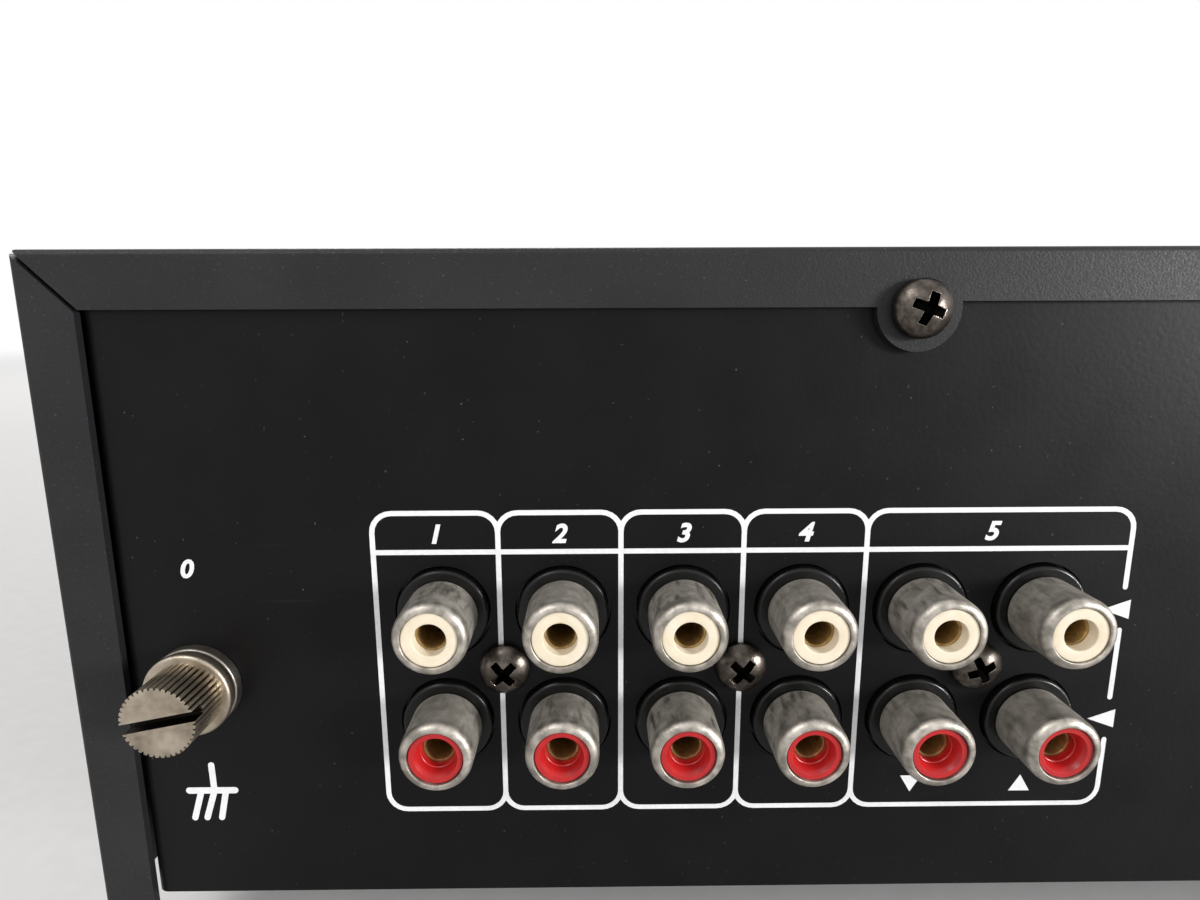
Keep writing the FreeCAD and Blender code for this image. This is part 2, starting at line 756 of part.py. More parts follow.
def jack_insert(x, z, dished):
    """The coloured insulator inside a shell, flat or dished round its bore."""
    wide = jack_shell_radius - jack_shell_wall - jack_fit
    narrow = jack_insert_radius
    bore = jack_bore_radius
    low = jack_fit - jack_shell_root
    high = jack_shell_length - jack_insert_recess
    step = jack_shell_length - 2 * jack_shell_wall - jack_fit
    outline = [(bore, low), (wide, low), (wide, step), (narrow, step), (narrow, high)]
    if dished:
        rim = (narrow + bore) / 2
        outline += [(rim, high), (bore, high - jack_contact_recess)]
    else:
        outline += [(bore, high)]
    return turned(ring_path(outline), (x, rear_y, z), BACK)


def jack_contact(x, z):
    """The centre contact: a sleeve with a tail that runs through the input board."""
    outer = jack_bore_radius - jack_fit
    inner = jack_contact_radius
    low = jack_fit - jack_shell_root
    high = jack_shell_length - jack_insert_recess - jack_contact_recess
    tail = input_board_y - 2 * board_thickness - rear_y
    outline = [
        (0, tail),
        (jack_tail_radius, tail),
        (jack_tail_radius, low),
        (outer, low),
        (outer, high),
        (inner, high),
        (inner, low + 1),
        (0, low + 1),
    ]
    return turned(ring_path(outline), (x, rear_y, z), BACK)


def input_board():
    """The board that the phono sockets are soldered to."""
    half = jack_pitch / 2 + jack_block_margin + input_board_margin
    span = (jack_blocks_x[-1] - half, jack_blocks_x[0] + half)
    board_height = about(jack_block_z, half)
    board = block(span, (input_board_y - board_thickness, input_board_y), board_height)
    through = (input_board_y - board_thickness - 1, input_board_y + 1)
    holes = [rod_y(jack_tail_radius + jack_fit, x, z, through) for x in jack_x for z in jack_rows]
    return board.cut(holes)


# ---- Ground terminal ----------------------------------------------------

def ground_collar():
    """The threaded bush that is riveted into the rear panel."""
    bore = ground_thread_radius + ground_thread_fit
    outline = [
        (bore, -ground_bush_depth),
        (ground_bush_radius, -ground_bush_depth),
        (ground_bush_radius, 0),
        (ground_ring_radius, 0),
        (ground_ring_radius, ground_collar_height),
        (bore, ground_collar_height),
    ]
    return turned(ring_path(outline), (ground_x, rear_y, ground_z), BACK)


def ground_washer():
    """The loose washer that travels with the thumbscrew."""
    low = ground_collar_height + ground_wire_gap
    bore = ground_thread_radius + ground_thread_fit
    outline = [
        (bore, low),
        (ground_ring_radius, low),
        (ground_ring_radius, low + ground_washer_height),
        (bore, low + ground_washer_height),
    ]
    return turned(ring_path(outline), (ground_x, rear_y, ground_z), BACK)


def ground_screw():
    """The knurled thumbscrew, with a slot across its face."""
    low = ground_collar_height + ground_wire_gap + ground_washer_height
    high = low + ground_head_height
    points = []
    for step in range(2 * ground_knurl_teeth):
        angle = math.pi * step / ground_knurl_teeth
        radius = ground_head_radius - ground_knurl_depth * (step % 2)
        points.append(Vector(radius * math.cos(angle), radius * math.sin(angle), low))
    outline = Part.makePolygon(points + points[:1])
    head = Part.Face(outline).extrude(Vector(0, 0, ground_head_height))
    chamfer = ground_knurl_depth * 2
    barrel = [
        (0, low),
        (ground_head_radius - chamfer, low),
        (ground_head_radius, low + chamfer),
        (ground_head_radius, high - chamfer),
        (ground_head_radius - chamfer, high),
        (0, high),
    ]
    head = head.common(turned(ring_path(barrel), (0, 0, 0), UP))
    shank = rod(ground_thread_radius, (0, 0, -ground_bush_depth - 2), (0, 0, low + 1))
    screw = joined([head, shank])
    slot_y = about(0, ground_slot_width / 2)
    slot = block(about(0, 2 * ground_head_radius), slot_y, (high - ground_slot_depth, high + 1))
    slot.rotate(Vector(0, 0, 0), UP, ground_slot_turn)
    return aim(screw.cut(slot), (ground_x, rear_y, ground_z), BACK)


# ---- Speaker terminals --------------------------------------------------

def speaker_body_half():
    """Half the width of the block behind the rear panel."""
    return 1.5 * speaker_pitch + lever_width / 2 + lever_pin_length + 1.5


def speaker_screw_x():
    """Places of the block's two screws."""
    reach = speaker_body_half() + terminal_screw[0] / 2 + 1.5
    return about(speaker_x, reach)


def speaker_block():
    """The moulded block with a pocket, a wire hole and a pivot for each lever."""
    plate_half = 1.5 * speaker_pitch + speaker_plate_margin
    plate_y = (rear_y, rear_y + speaker_plate_thickness)
    plate_z = about(speaker_z, speaker_plate_height / 2)
    plate = rounded_plate(about(speaker_x, plate_half), plate_y, plate_z, speaker_corner)
    body_y = (rear_y - speaker_body_depth, rear_y + 1)
    body_z = about(speaker_z, speaker_body_height / 2)
    body = block(about(speaker_x, speaker_body_half()), body_y, body_z)
    cuts = []
    for x in lever_x:
        pocket_x = about(x, lever_width / 2 + lever_play)
        open_z = (speaker_z - 1, speaker_z + pocket_top)
        cuts.append(block(pocket_x, (rear_y - pocket_depth, plate_y[1] + 1), open_z))
        low_z = (speaker_z - pocket_floor, speaker_z)
        cuts.append(block(pocket_x, (rear_y - pocket_depth, rear_y - wire_wall), low_z))
        hole_y = (rear_y - wire_wall - 1, plate_y[1] + 1)
        cuts.append(rod_y(wire_hole_radius, x, speaker_z - wire_hole_drop, hole_y))
        pin_half = lever_width / 2 + lever_pin_length + lever_play
        pivot = lever_pivot()
        pin_start = (x - pin_half, pivot[0], pivot[1])
        pin_end = (x + pin_half, pivot[0], pivot[1])
        cuts.append(rod(lever_pin_radius + lever_pin_fit, pin_start, pin_end))
        strip = contact_strip_width / 2 + lever_play
        strip_y = (body_y[0] - 1, rear_y - pocket_depth)
        strip_z = (low_z[0], low_z[0] + contact_strip_thickness)
        cuts.append(block(about(x, strip), strip_y, strip_z))
    for x in speaker_screw_x():
        seat = (x, plate_y[1], speaker_z)
        cuts.append(screw_hole(terminal_screw, screw_play, seat, BACK, speaker_plate_thickness + 1))
    return joined([plate, body]).cut(cuts)


def lever_pivot():
    """Where the levers turn, as (y, z)."""
    return (rear_y - lever_pivot_in, speaker_z + lever_pivot_up)


def speaker_lever(x):
    """A sprung lever: a tab outside, a hub with two pins, and an arm that grips the wire."""
    y, z = lever_pivot()
    width = about(x, lever_width / 2)
    hub = rod(lever_hub_radius, (width[0], y, z), (width[1], y, z))
    pin_half = lever_width / 2 + lever_pin_length
    pin = rod(lever_pin_radius, (x - pin_half, y, z), (x + pin_half, y, z))
    tab = block(width, (y, y + lever_length), about(z, lever_thickness / 2))
    tip_edges = [edge for edge in tab.Edges if abs(edge.CenterOfMass.y - y - lever_length) < 0.01]
    tip_edges = [edge for edge in tip_edges if abs(edge.CenterOfMass.z - z) < 0.01]
    tab = tab.makeFillet(speaker_corner, tip_edges)
    tab.rotate(Vector(x, y, z), RIGHT, lever_rest_angle)
    arm_width = about(x, contact_strip_width / 2)
    arm = block(arm_width, about(y, lever_arm_thickness / 2), (z - lever_arm_length, z))
    return joined([hub, pin, tab, arm])


def speaker_contact(x):
    """The bronze strip under a wire, with a solder tail behind the block."""
    low = speaker_z - pocket_floor
    strip_y = (rear_y - speaker_body_depth - contact_tail, rear_y - wire_wall)
    return block(about(x, contact_strip_width / 2), strip_y, (low, low + contact_strip_thickness))


# ---- Mains inlet --------------------------------------------------------

def inlet_shape(size, y):
    """A block with its two upper corners cut off, as the mains connector has."""
    half = size[0] / 2
    height = size[1] / 2
    cut = inlet_chamfer
    points = [
        (-half, -height),
        (half, -height),
        (half, height - cut),
        (half - cut, height),
        (cut - half, height),
        (-half, height - cut),
    ]
    wire = [Vector(inlet_x + px, y[0], inlet_z + pz) for px, pz in points]
    face = Part.Face(Part.makePolygon(wire + wire[:1]))
    return face.extrude(Vector(0, y[1] - y[0], 0))


def mains_inlet():
    """The moulded mains connector."""
    flange_y = (rear_y, rear_y + inlet_flange_thickness)
    flange_x = about(inlet_x, inlet_flange[0] / 2)
    flange_z = about(inlet_z, inlet_flange[1] / 2)
    flange = rounded_plate(flange_x, flange_y, flange_z, inlet_corner)
    body_y = (rear_y - inlet_body_depth, rear_y + 1)
    body = block(about(inlet_x, inlet_body[0] / 2), body_y, about(inlet_z, inlet_body[1] / 2))
    recess = inlet_shape(inlet_recess, (flange_y[1] - inlet_recess_depth, flange_y[1] + 1))
    cuts = [recess]
    for x, z in inlet_pins():
        pin_x = about(x, inlet_pin[0] / 2)
        cuts.append(block(pin_x, (body_y[0] - 1, rear_y), about(z, inlet_pin[1] / 2)))
    for x in about(inlet_x, inlet_screw_pitch / 2):
        seat = (x, flange_y[1], inlet_z)
        cuts.append(screw_hole(m3_screw, screw_play, seat, BACK, inlet_flange_thickness + 1))
    return joined([flange, body]).cut(cuts)


def inlet_pins():
    """Places of the three blades: two low and one raised in the middle."""
    low = inlet_z - inlet_pin_offset
    return [
        (inlet_x - inlet_pin_pitch, low),
        (inlet_x, inlet_z + inlet_pin_offset),
        (inlet_x + inlet_pin_pitch, low),
    ]


def inlet_blade(x, z):
    """One flat blade, with its tail behind the body."""
    front = rear_y + inlet_flange_thickness - inlet_pin_recess
    back = rear_y - inlet_body_depth - inlet_tail
    return block(about(x, inlet_pin[0] / 2), (back, front), about(z, inlet_pin[1] / 2))


# ---- Power supply -------------------------------------------------------

def transformer_core():
    """The stack of iron laminations, with a window each side of its middle leg."""
    stack = about(transformer_y, transformer_stack / 2)
    half = transformer_width / 2
    core = block(about(transformer_x, half), stack, (pan_top, transformer_top))
    window_z = (pan_top + transformer_yoke, transformer_top - transformer_yoke)
    cuts = []
    for side in (-1, 1):
        span = [transformer_x + side * transformer_yoke, transformer_x + side * (half - transformer_yoke)]
        cuts.append(block(sorted(span), (stack[0] - 1, stack[1] + 1), window_z))
    return core.cut(cuts)


def transformer_coil():
    """The wound bobbin round the middle leg."""
    half = transformer_width / 2 - transformer_yoke - coil_fit
    depth = transformer_stack / 2 + transformer_coil_overhang
    low = pan_top + transformer_yoke + coil_fit
    high = transformer_top - transformer_yoke - coil_fit
    coil = block(about(transformer_x, half), about(transformer_y, depth), (low, high))
    corners = [edge for edge in coil.Edges if abs(edge.tangentAt(edge.FirstParameter).z) > 0.9]
    coil = coil.makeFillet(transformer_coil_overhang / 2, corners)
    leg_x = about(transformer_x, transformer_yoke + coil_fit)
    leg_y = about(transformer_y, transformer_stack / 2 + coil_fit)
    return coil.cut(block(leg_x, leg_y, (low - 1, high + 1)))


def transformer_strap():
    """The steel strap that clamps the core to the chassis."""
    span = about(transformer_y, strap_width / 2)
    top = transformer_top + coil_fit + strap_thickness
    loop = block(about(transformer_x, strap_half), span, (pan_top, top))
    foot_x = about(transformer_x, strap_half + strap_foot)
    feet = block(foot_x, span, (pan_top, pan_top + strap_thickness))
    inside = block(
        about(transformer_x, strap_half - strap_thickness),
        (span[0] - 1, span[1] + 1),
        (pan_top - 1, top - strap_thickness),
    )
    strap = joined([loop, feet]).cut(inside)
    holes = []
    for x, y in strap_screws():
        seat = (x, y, pan_top + strap_thickness)
        holes.append(screw_hole(heavy_screw, screw_play, seat, UP, strap_thickness + 1))
    return strap.cut(holes)


# ---- Main board ---------------------------------------------------------

def main_board():
    """The board that carries the power amplifier."""
    board = block(board_x, board_y, board_z)
    holes = []
    for x, y in board_holes:
        holes.append(screw_hole(m3_screw, screw_play, (x, y, board_z[1]), UP, board_thickness + 1))
    return board.cut(holes)


def heat_sink():
    """The extruded heat sink: a plate with upright fins behind it."""
    sink_z = (board_z[1], inner_top - heat_sink_headroom)
    plate = block(sink_x, (sink_y, sink_y + heat_sink_plate), sink_z)
    fins = int((sink_length - heat_sink_fin) // heat_sink_pitch) + 1
    first = board_mid_x - heat_sink_pitch * (fins - 1) / 2
    fin_y = (sink_y, sink_y + heat_sink_plate + heat_sink_fin_length)
    pieces = [plate]
    for fin in range(fins):
        middle = first + heat_sink_pitch * fin
        pieces.append(block(about(middle, heat_sink_fin / 2), fin_y, sink_z))
    holes = []
    for x in transistor_x:
        seat = (x, sink_y - transistor_size[1], transistor_hole_z)
        holes.append(screw_hole(m3_screw, screw_fit, seat, FRONT, m3_screw[3] + 1))
    return joined(pieces).cut(holes)


def output_transistor(x):
    """One output transistor, flat against the heat sink, with three leads to the board."""
    width, depth, height = transistor_size
    low = board_z[1] + transistor_lift
    body_y = (sink_y - depth, sink_y)
    body = block(about(x, width / 2), body_y, (low, low + height))
    leads = []
    for lead in (-1, 0, 1):
        lead_x = about(x + lead * transistor_lead_pitch, transistor_lead / 2)
        lead_y = about(sink_y - depth / 2, transistor_lead / 2)
        leads.append(block(lead_x, lead_y, (board_z[1], low + 1)))
    seat = (x, sink_y - depth, transistor_hole_z)
    hole = screw_hole(m3_screw, screw_play, seat, FRONT, depth + 1)
    return joined([body] + leads).cut(hole)


def reservoir_capacitor(x):
    """A smoothing capacitor, with its sleeve rolled over at the top."""
    y = board_y[1] - capacitor_inset
    can = rod_z(capacitor_radius, x, y, (board_z[1], board_z[1] + capacitor_height))
    top_edge = [edge for edge in can.Edges if edge.CenterOfMass.z > board_z[1] + capacitor_height - 0.01]
    return can.makeFillet(1.5, top_edge)


def protection_relay():
    """The relay that joins the speakers a moment after switching on."""
    width, depth, height = relay_size
    y = board_y[1] - relay_ahead
    return block(about(relay_x, width / 2), about(y, depth / 2), (board_z[1], board_z[1] + height))


def fuse(index):
    """A glass fuse with two metal caps, lying along Y."""
    x = board_x[0] + fuse_inset + fuse_pitch * index
    middle = board_y[0] + 2 * fuse_inset
    return rod_y(fuse_radius, x, board_z[1] + fuse_lift, about(middle, fuse_length / 2))


def fuse_clips(index):
    """The two spring clips that hold a fuse."""
    x = board_x[0] + fuse_inset + fuse_pitch * index
    middle = board_y[0] + 2 * fuse_inset
    fuse_z = board_z[1] + fuse_lift
    clips = []
    for end in (-1, 1):
        y = about(middle + end * (fuse_length - fuse_clip_length) / 2, fuse_clip_length / 2)
        outer = fuse_radius + jack_fit + fuse_clip_wall
        cradle = block(about(x, outer), y, (board_z[1], fuse_z + fuse_radius / 2))
        gap = rod_y(fuse_radius + jack_fit, x, fuse_z, (y[0] - 1, y[1] + 1))
        throat = block(about(x, fuse_radius / 2), (y[0] - 1, y[1] + 1), (fuse_z, fuse_z + outer))
        clips.append(cradle.cut([gap, throat]))
    return clips


# ---- Controls -----------------------------------------------------------

def knob_and_shaft(x, size, turn):
    """A knob with a pointer groove, and the round shaft that it is pushed on to."""
    radius, length = size
    back = front_y - knob_seam
    face = back - length
    knob = rod_y(radius, x, control_z, (face, back))
    rim = [edge for edge in knob.Edges if abs(edge.CenterOfMass.y - face) < 0.01 and edge.Closed]
    knob = knob.makeChamfer(knob_edge, rim)
    shaft_end = face + knob_socket
    hub = shaft_radius + knob_fit + knob_hub_wall
    hollow = (back - knob_hollow_depth, back + 1)
    skirt = rod_y(radius - knob_skirt_wall, x, control_z, hollow).cut(rod_y(hub, x, control_z, hollow))
    socket = rod_y(shaft_radius + knob_fit, x, control_z, (shaft_end, back + 1))
    pointer = block(
        about(x, pointer_width / 2),
        (face - 1, face + pointer_depth),
        (control_z + radius * 0.35, control_z + radius + 1),
    )
    pointer.rotate(Vector(x, face, control_z), BACK, turn)
    knob = knob.cut([skirt, socket, pointer])
    shaft = rod_y(shaft_radius, x, control_z, (shaft_end, frame_back_y + shaft_seat))
    return knob, shaft


def pot_body(x, size):
    """A square potentiometer body on the back of the front frame."""
    width, depth = size
    body = block(about(x, width / 2), (frame_back_y, frame_back_y + depth), about(control_z, width / 2))
    bore = (frame_back_y - 1, frame_back_y + shaft_seat)
    return body.cut(rod_y(shaft_radius + shaft_fit, x, control_z, bore))


def rotary_switch(x, size):
    """The round body of the input selector."""
    width, depth = size
    body = rod_y(width / 2, x, control_z, (frame_back_y, frame_back_y + depth))
    bore = (frame_back_y - 1, frame_back_y + shaft_seat)
    return body.cut(rod_y(shaft_radius + shaft_fit, x, control_z, bore))


def buttons():
    """Every push button, as its place and the size of its cap."""
    return [(power_x, power_button)] + [(x, function_button) for x in function_x]


def push_button(x, size):
    """A button: its cap in the front panel, and the stem that works the switch."""
    half = [side / 2 for side in size]
    cap_y = (front_y - button_proud, front_y + button_root)
    cap = rounded_plate(about(x, half[0]), cap_y, about(control_z, half[1]), button_corner)
    face_edges = [edge for edge in cap.Edges if abs(edge.CenterOfMass.y - cap_y[0]) < 0.01]
    cap = cap.makeFillet(button_corner / 2, face_edges)
    stem_half = [side / 2 for side in stem_size]
    stem_y = (cap_y[1] - 1, frame_back_y + stem_reach)
    stem = block(about(x, stem_half[0]), stem_y, about(control_z, stem_half[1]))
    return joined([cap, stem])


def switch_body(x, size):
    """A push switch on the back of the front frame, bored for its stem."""
    width, height, depth = size
    body = block(about(x, width / 2), (frame_back_y, frame_back_y + depth), about(control_z, height / 2))
    bore_half = [side / 2 + stem_play for side in stem_size]
    bore_y = (frame_back_y - 1, frame_back_y + stem_reach + switch_bore_margin)
    return body.cut(block(about(x, bore_half[0]), bore_y, about(control_z, bore_half[1])))


def headphone_socket():
    """The headphone socket: a bezel outside, a barrel through the front and a body inside."""
    width, height, depth = phones_body
    bezel_y = (front_y - phones_bezel_proud, front_y)
    bezel = rod_y(phones_bezel_radius, phones_x, control_z, bezel_y)
    rim = [edge for edge in bezel.Edges if abs(edge.CenterOfMass.y - bezel_y[0]) < 0.01 and edge.Closed]
    bezel = bezel.makeFillet(phones_bezel_proud / 2, rim)
    barrel = rod_y(phones_barrel_radius, phones_x, control_z, (front_y - 0.5, frame_back_y + 1))
    body_y = (frame_back_y, frame_back_y + depth)
    body = block(about(phones_x, width / 2), body_y, about(control_z, height / 2))
    bore = rod_y(phones_bore_radius, phones_x, control_z, (bezel_y[0] - 1, bezel_y[0] + phones_bore_depth))
    return joined([bezel, barrel, body]).cut(bore)


def power_lamp():
    """The small round lamp above the power button."""
    z = control_z + lamp_lift
    lamp = rod_y(lamp_radius, power_x, z, (front_y - lamp_proud, frame_back_y + 1))
    front_rim = [edge for edge in lamp.Edges if abs(edge.CenterOfMass.y - front_y + lamp_proud) < 0.01]
    return lamp.makeFillet(lamp_proud, [edge for edge in front_rim if edge.Closed])


def control_board():
    """The upright board behind the controls."""
    span = (tone_x[0] - control_board_margin, volume_x + control_board_margin)
    board_depth = (control_board_y, control_board_y + board_thickness)
    return block(span, board_depth, about(control_z, control_board_height / 2))


def ribbon_cable():
    """The flat cable from the control board to the input board, sagging between them."""
    z = jack_block_z
    start = control_board_y + board_thickness
    end = input_board_y - board_thickness
    x = jack_blocks_x[0] - ribbon_width / 2
    middle = (start + end) / 2
    thick = ribbon_thickness
    lower = Part.Arc(Vector(x, start, z), Vector(x, middle, z - ribbon_sag), Vector(x, end, z))
    upper = Part.Arc(
        Vector(x, start, z + thick),
        Vector(x, middle, z + thick - ribbon_sag),
        Vector(x, end, z + thick),
    )
    ends = [
        Part.makeLine(Vector(x, end, z), Vector(x, end, z + thick)),
        Part.makeLine(Vector(x, start, z + thick), Vector(x, start, z)),
    ]
    face = Part.Face(Part.Wire([lower.toShape(), ends[0], upper.toShape(), ends[1]]))
    return face.extrude(Vector(ribbon_width, 0, 0))


# ---- Every node ---------------------------------------------------------

save("top_cover", top_cover())
save("chassis_pan", chassis_pan())
save("rear_panel", rear_panel())
save("front_frame", front_frame())
save("front_panel", front_panel())
save("feet", [foot(x, y) for x, y in foot_places])
save(
    "foot_screws",
    [pan_screw(heavy_screw, (x, y, foot_recess_depth), DOWN) for x, y in foot_places],
)
cover_screws = []
for x in cover_screw_x:
    cover_screws.append(pan_screw(cover_screw, (x, rear_y + cover_sheet, cover_screw_z), BACK, 25))
for side in (-1, 1):
    for y in side_screw_y:
        cover_screws.append(pan_screw(cover_screw, (side * half_width, y, side_screw_z), RIGHT * side, 40))
save("cover_screws", cover_screws)
save(
    "front_panel_screws",
    [pan_screw(small_screw, (x, frame_back_y, z), BACK) for x, z in front_screws],
)

save("jack_blocks", [jack_block(x) for x in jack_blocks_x])
save("jack_shells", [jack_shell(x, z) for x in jack_x for z in jack_rows])
save("left_inserts", [jack_insert(x, jack_rows[0], False) for x in jack_x])
save("right_inserts", [jack_insert(x, jack_rows[1], True) for x in jack_x])
save("jack_contacts", [jack_contact(x, z) for x in jack_x for z in jack_rows])
terminal_screws = [pan_screw(terminal_screw, (x, rear_y, jack_block_z), BACK, 20) for x in jack_blocks_x]
for x in speaker_screw_x():
    seat = (x, rear_y + speaker_plate_thickness, speaker_z)
    terminal_screws.append(pan_screw(terminal_screw, seat, BACK, 65))
save("terminal_screws", terminal_screws)
save("input_board", input_board())

save("ground_collar", ground_collar())
save("ground_washer", ground_washer())
save("ground_screw", ground_screw())

save("speaker_block", speaker_block())
for number, x in enumerate(lever_x):
    save("speaker_lever_" + str(number + 1), speaker_lever(x))
save("speaker_contacts", [speaker_contact(x) for x in lever_x])

save("mains_inlet", mains_inlet())
save("mains_inlet_blades", [inlet_blade(x, z) for x, z in inlet_pins()])

save("transformer_core", transformer_core())
save("transformer_coil", transformer_coil())
save("transformer_strap", transformer_strap())
save(
    "transformer_screws",
    [pan_screw(heavy_screw, (x, y, pan_top + strap_thickness), UP) for x, y in strap_screws()],
)

save("main_board", main_board())
m3_screws = [pan_screw(m3_screw, (x, y, board_z[1]), UP) for x, y in board_holes]
for x in transistor_x:
    seat = (x, sink_y - transistor_size[1], transistor_hole_z)
    m3_screws.append(pan_screw(m3_screw, seat, FRONT))
for x in about(inlet_x, inlet_screw_pitch / 2):
    seat = (x, rear_y + inlet_flange_thickness, inlet_z)
    m3_screws.append(pan_screw(m3_screw, seat, BACK, 10))
save("m3_screws", m3_screws)
save("heat_sink", heat_sink())
save("output_transistors", [output_transistor(x) for x in transistor_x])
save("reservoir_capacitors", [reservoir_capacitor(x) for x in capacitor_x])
save("protection_relay", protection_relay())
save("fuses", [fuse(index) for index in range(2)])
save("fuse_clips", [clip for index in range(2) for clip in fuse_clips(index)])

knobs = {
    "volume": (volume_x, volume_knob, volume_start),
    "selector": (selector_x, selector_knob, 0.0),
    "bass": (tone_x[0], tone_knob, 0.0),
    "treble": (tone_x[1], tone_knob, 0.0),
    "balance": (tone_x[2], tone_knob, 0.0),
}
for name, (x, size, turn) in knobs.items():
    knob, shaft = knob_and_shaft(x, size, turn)
    save(name + "_knob", knob)
    save(name + "_shaft", shaft)
save("volume_pot", pot_body(volume_x, volume_pot))
save("tone_pots", [pot_body(x, tone_pot) for x in tone_x])
save("selector_switch", rotary_switch(selector_x, selector_switch))
button_names = ["power_button", "tape_button", "loudness_button"]
for name, (x, size) in zip(button_names, buttons()):
    save(name, push_button(x, size))
save(
    "push_switches",
    [switch_body(power_x, mains_switch)] + [switch_body(x, function_switch) for x in function_x],
)
save("headphone_socket", headphone_socket())
save("power_lamp", power_lamp())
save("control_board", control_board())
save("ribbon_cable", ribbon_cable())
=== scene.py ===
# %% [markdown]
# # A slim black amplifier, seen from its rear corner
#
# The case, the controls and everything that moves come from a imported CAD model, which is a fixed frame
# here. This lesson adds what the frame lacks: paint, ink, plated and moulded finishes, and finer meshes
# for the small parts that the eye comes close to. Lengths are in metres, as in the frame.

# %% Load the frame
import json
import math

import bmesh
import bpy
from mathutils import Euler, Matrix, Vector

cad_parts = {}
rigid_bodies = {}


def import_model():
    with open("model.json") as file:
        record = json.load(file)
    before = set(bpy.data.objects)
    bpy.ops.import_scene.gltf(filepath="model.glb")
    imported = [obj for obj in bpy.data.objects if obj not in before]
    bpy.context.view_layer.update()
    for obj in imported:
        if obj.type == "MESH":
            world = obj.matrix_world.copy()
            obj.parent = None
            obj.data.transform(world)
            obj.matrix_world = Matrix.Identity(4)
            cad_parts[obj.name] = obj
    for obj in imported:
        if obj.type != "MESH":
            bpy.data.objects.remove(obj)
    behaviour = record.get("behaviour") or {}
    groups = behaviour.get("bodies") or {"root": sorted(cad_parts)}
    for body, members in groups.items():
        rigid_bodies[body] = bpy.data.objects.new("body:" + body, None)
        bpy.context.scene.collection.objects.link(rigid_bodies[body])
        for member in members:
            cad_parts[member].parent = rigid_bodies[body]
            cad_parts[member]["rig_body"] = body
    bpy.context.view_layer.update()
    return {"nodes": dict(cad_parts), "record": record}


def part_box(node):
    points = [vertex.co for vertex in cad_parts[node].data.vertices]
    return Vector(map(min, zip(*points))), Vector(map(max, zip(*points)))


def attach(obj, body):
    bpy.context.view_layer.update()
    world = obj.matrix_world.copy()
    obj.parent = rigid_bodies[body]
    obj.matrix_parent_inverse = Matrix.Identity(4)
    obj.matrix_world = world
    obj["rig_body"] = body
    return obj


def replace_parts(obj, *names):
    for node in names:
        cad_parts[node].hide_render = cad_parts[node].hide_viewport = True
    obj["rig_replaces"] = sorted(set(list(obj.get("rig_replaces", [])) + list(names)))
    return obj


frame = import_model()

MM = 0.001
mounts = {mount["name"]: Vector(mount["pos_m"]) for mount in frame["record"]["mounts"]}

# %% [markdown]
# ## Two faces to work on
# Nearly all the detail is on the rear panel and on the front panel. Each gets a matrix whose X runs
# to the right of somebody who looks at that face, whose Y runs up, and whose Z points outwards. A part is
# made flat in that space and then turned onto the face in one step. The sockets' axes are mounts of
# the frame, so the rear face is measured from the first socket.

# %% Places to measure from
def facing(out, origin):
    """The matrix of an upright face that looks along out, with its zero at origin."""
    up = Vector((0, 0, 1))
    turn = Matrix((up.cross(Vector(out)), up, out)).transposed().to_4x4()
    return Matrix.Translation(origin) @ turn


rear_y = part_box("rear_panel")[1].y
front_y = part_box("front_panel")[0].y
first_jack = mounts["phono_1_left"]
jack_pitch = first_jack.z - mounts["phono_1_right"].z
jack_columns = sum(name.startswith("phono_") and name.endswith("_left") for name in mounts)
rear_face = facing((0, 1, 0), (first_jack.x, rear_y, first_jack.z))
print("sockets:", jack_columns, "columns,", round(jack_pitch / MM, 2), "mm apart")

# %% [markdown]
# ## The camera
# A wide lens close to the panel makes the near sockets lean apart, so both its distance and its focal
# length matter. It looks down by ten degrees and stands 77 mm behind the panel.

# %% Camera
camera = bpy.data.objects.new("camera", bpy.data.cameras.new("camera"))
bpy.context.scene.collection.objects.link(camera)
camera.data.lens = 21.0
camera.data.sensor_width = 36.0
camera.data.clip_start = 0.005
camera.location = rear_face @ (Vector((17.75, 33.57, 77.3)) * MM)
camera.rotation_euler = Euler([math.radians(angle) for angle in (79.46, 0.225, 179.476)])
bpy.context.scene.camera = camera
bpy.context.scene.view_settings.view_transform = "Standard"

# %% [markdown]
# ## The room
# The object stands on a pale floor in a white room. The background shows white to the camera, to
# mirrors and to glass, but lights the object only as much as a plain room would, so its brightness is
# split by what kind of ray asks. Every tree in this lesson is built with the same small `add`.

# %% Tools for node trees
def linear(hex_colour):
    """An sRGB hex colour as linear red, green, blue and alpha."""
    channels = [int(hex_colour[n : n + 2], 16) / 255 for n in (1, 3, 5)]
    straight = [c / 12.92 if c <= 0.04045 else ((c + 0.055) / 1.055) ** 2.4 for c in channels]
    return (*straight, 1.0)


def socket(sockets, key):
    """The socket with that identifier, or else the first one in use with that name or number."""
    if isinstance(key, int):
        return sockets[key]
    exact = [s for s in sockets if s.identifier == key]
    named = [s for s in sockets if s.name == key and s.enabled]
    return (exact or named)[0]


def outlet(source):
    """The output of a node that is in use, or the socket itself."""
    if isinstance(source, bpy.types.Node):
        return next(output for output in source.outputs if output.enabled)
    return source


def add(tree, kind, links=None, values=None, **settings):
    """Add a node with its settings and values, and link other nodes or their sockets to its inputs."""
    node = tree.nodes.new(kind)
    for name, value in settings.items():
        setattr(node, name, value)
    for key, value in (values or {}).items():
        socket(node.inputs, key).default_value = value
    for key, source in (links or {}).items():
        tree.links.new(outlet(source), socket(node.inputs, key))
    return node


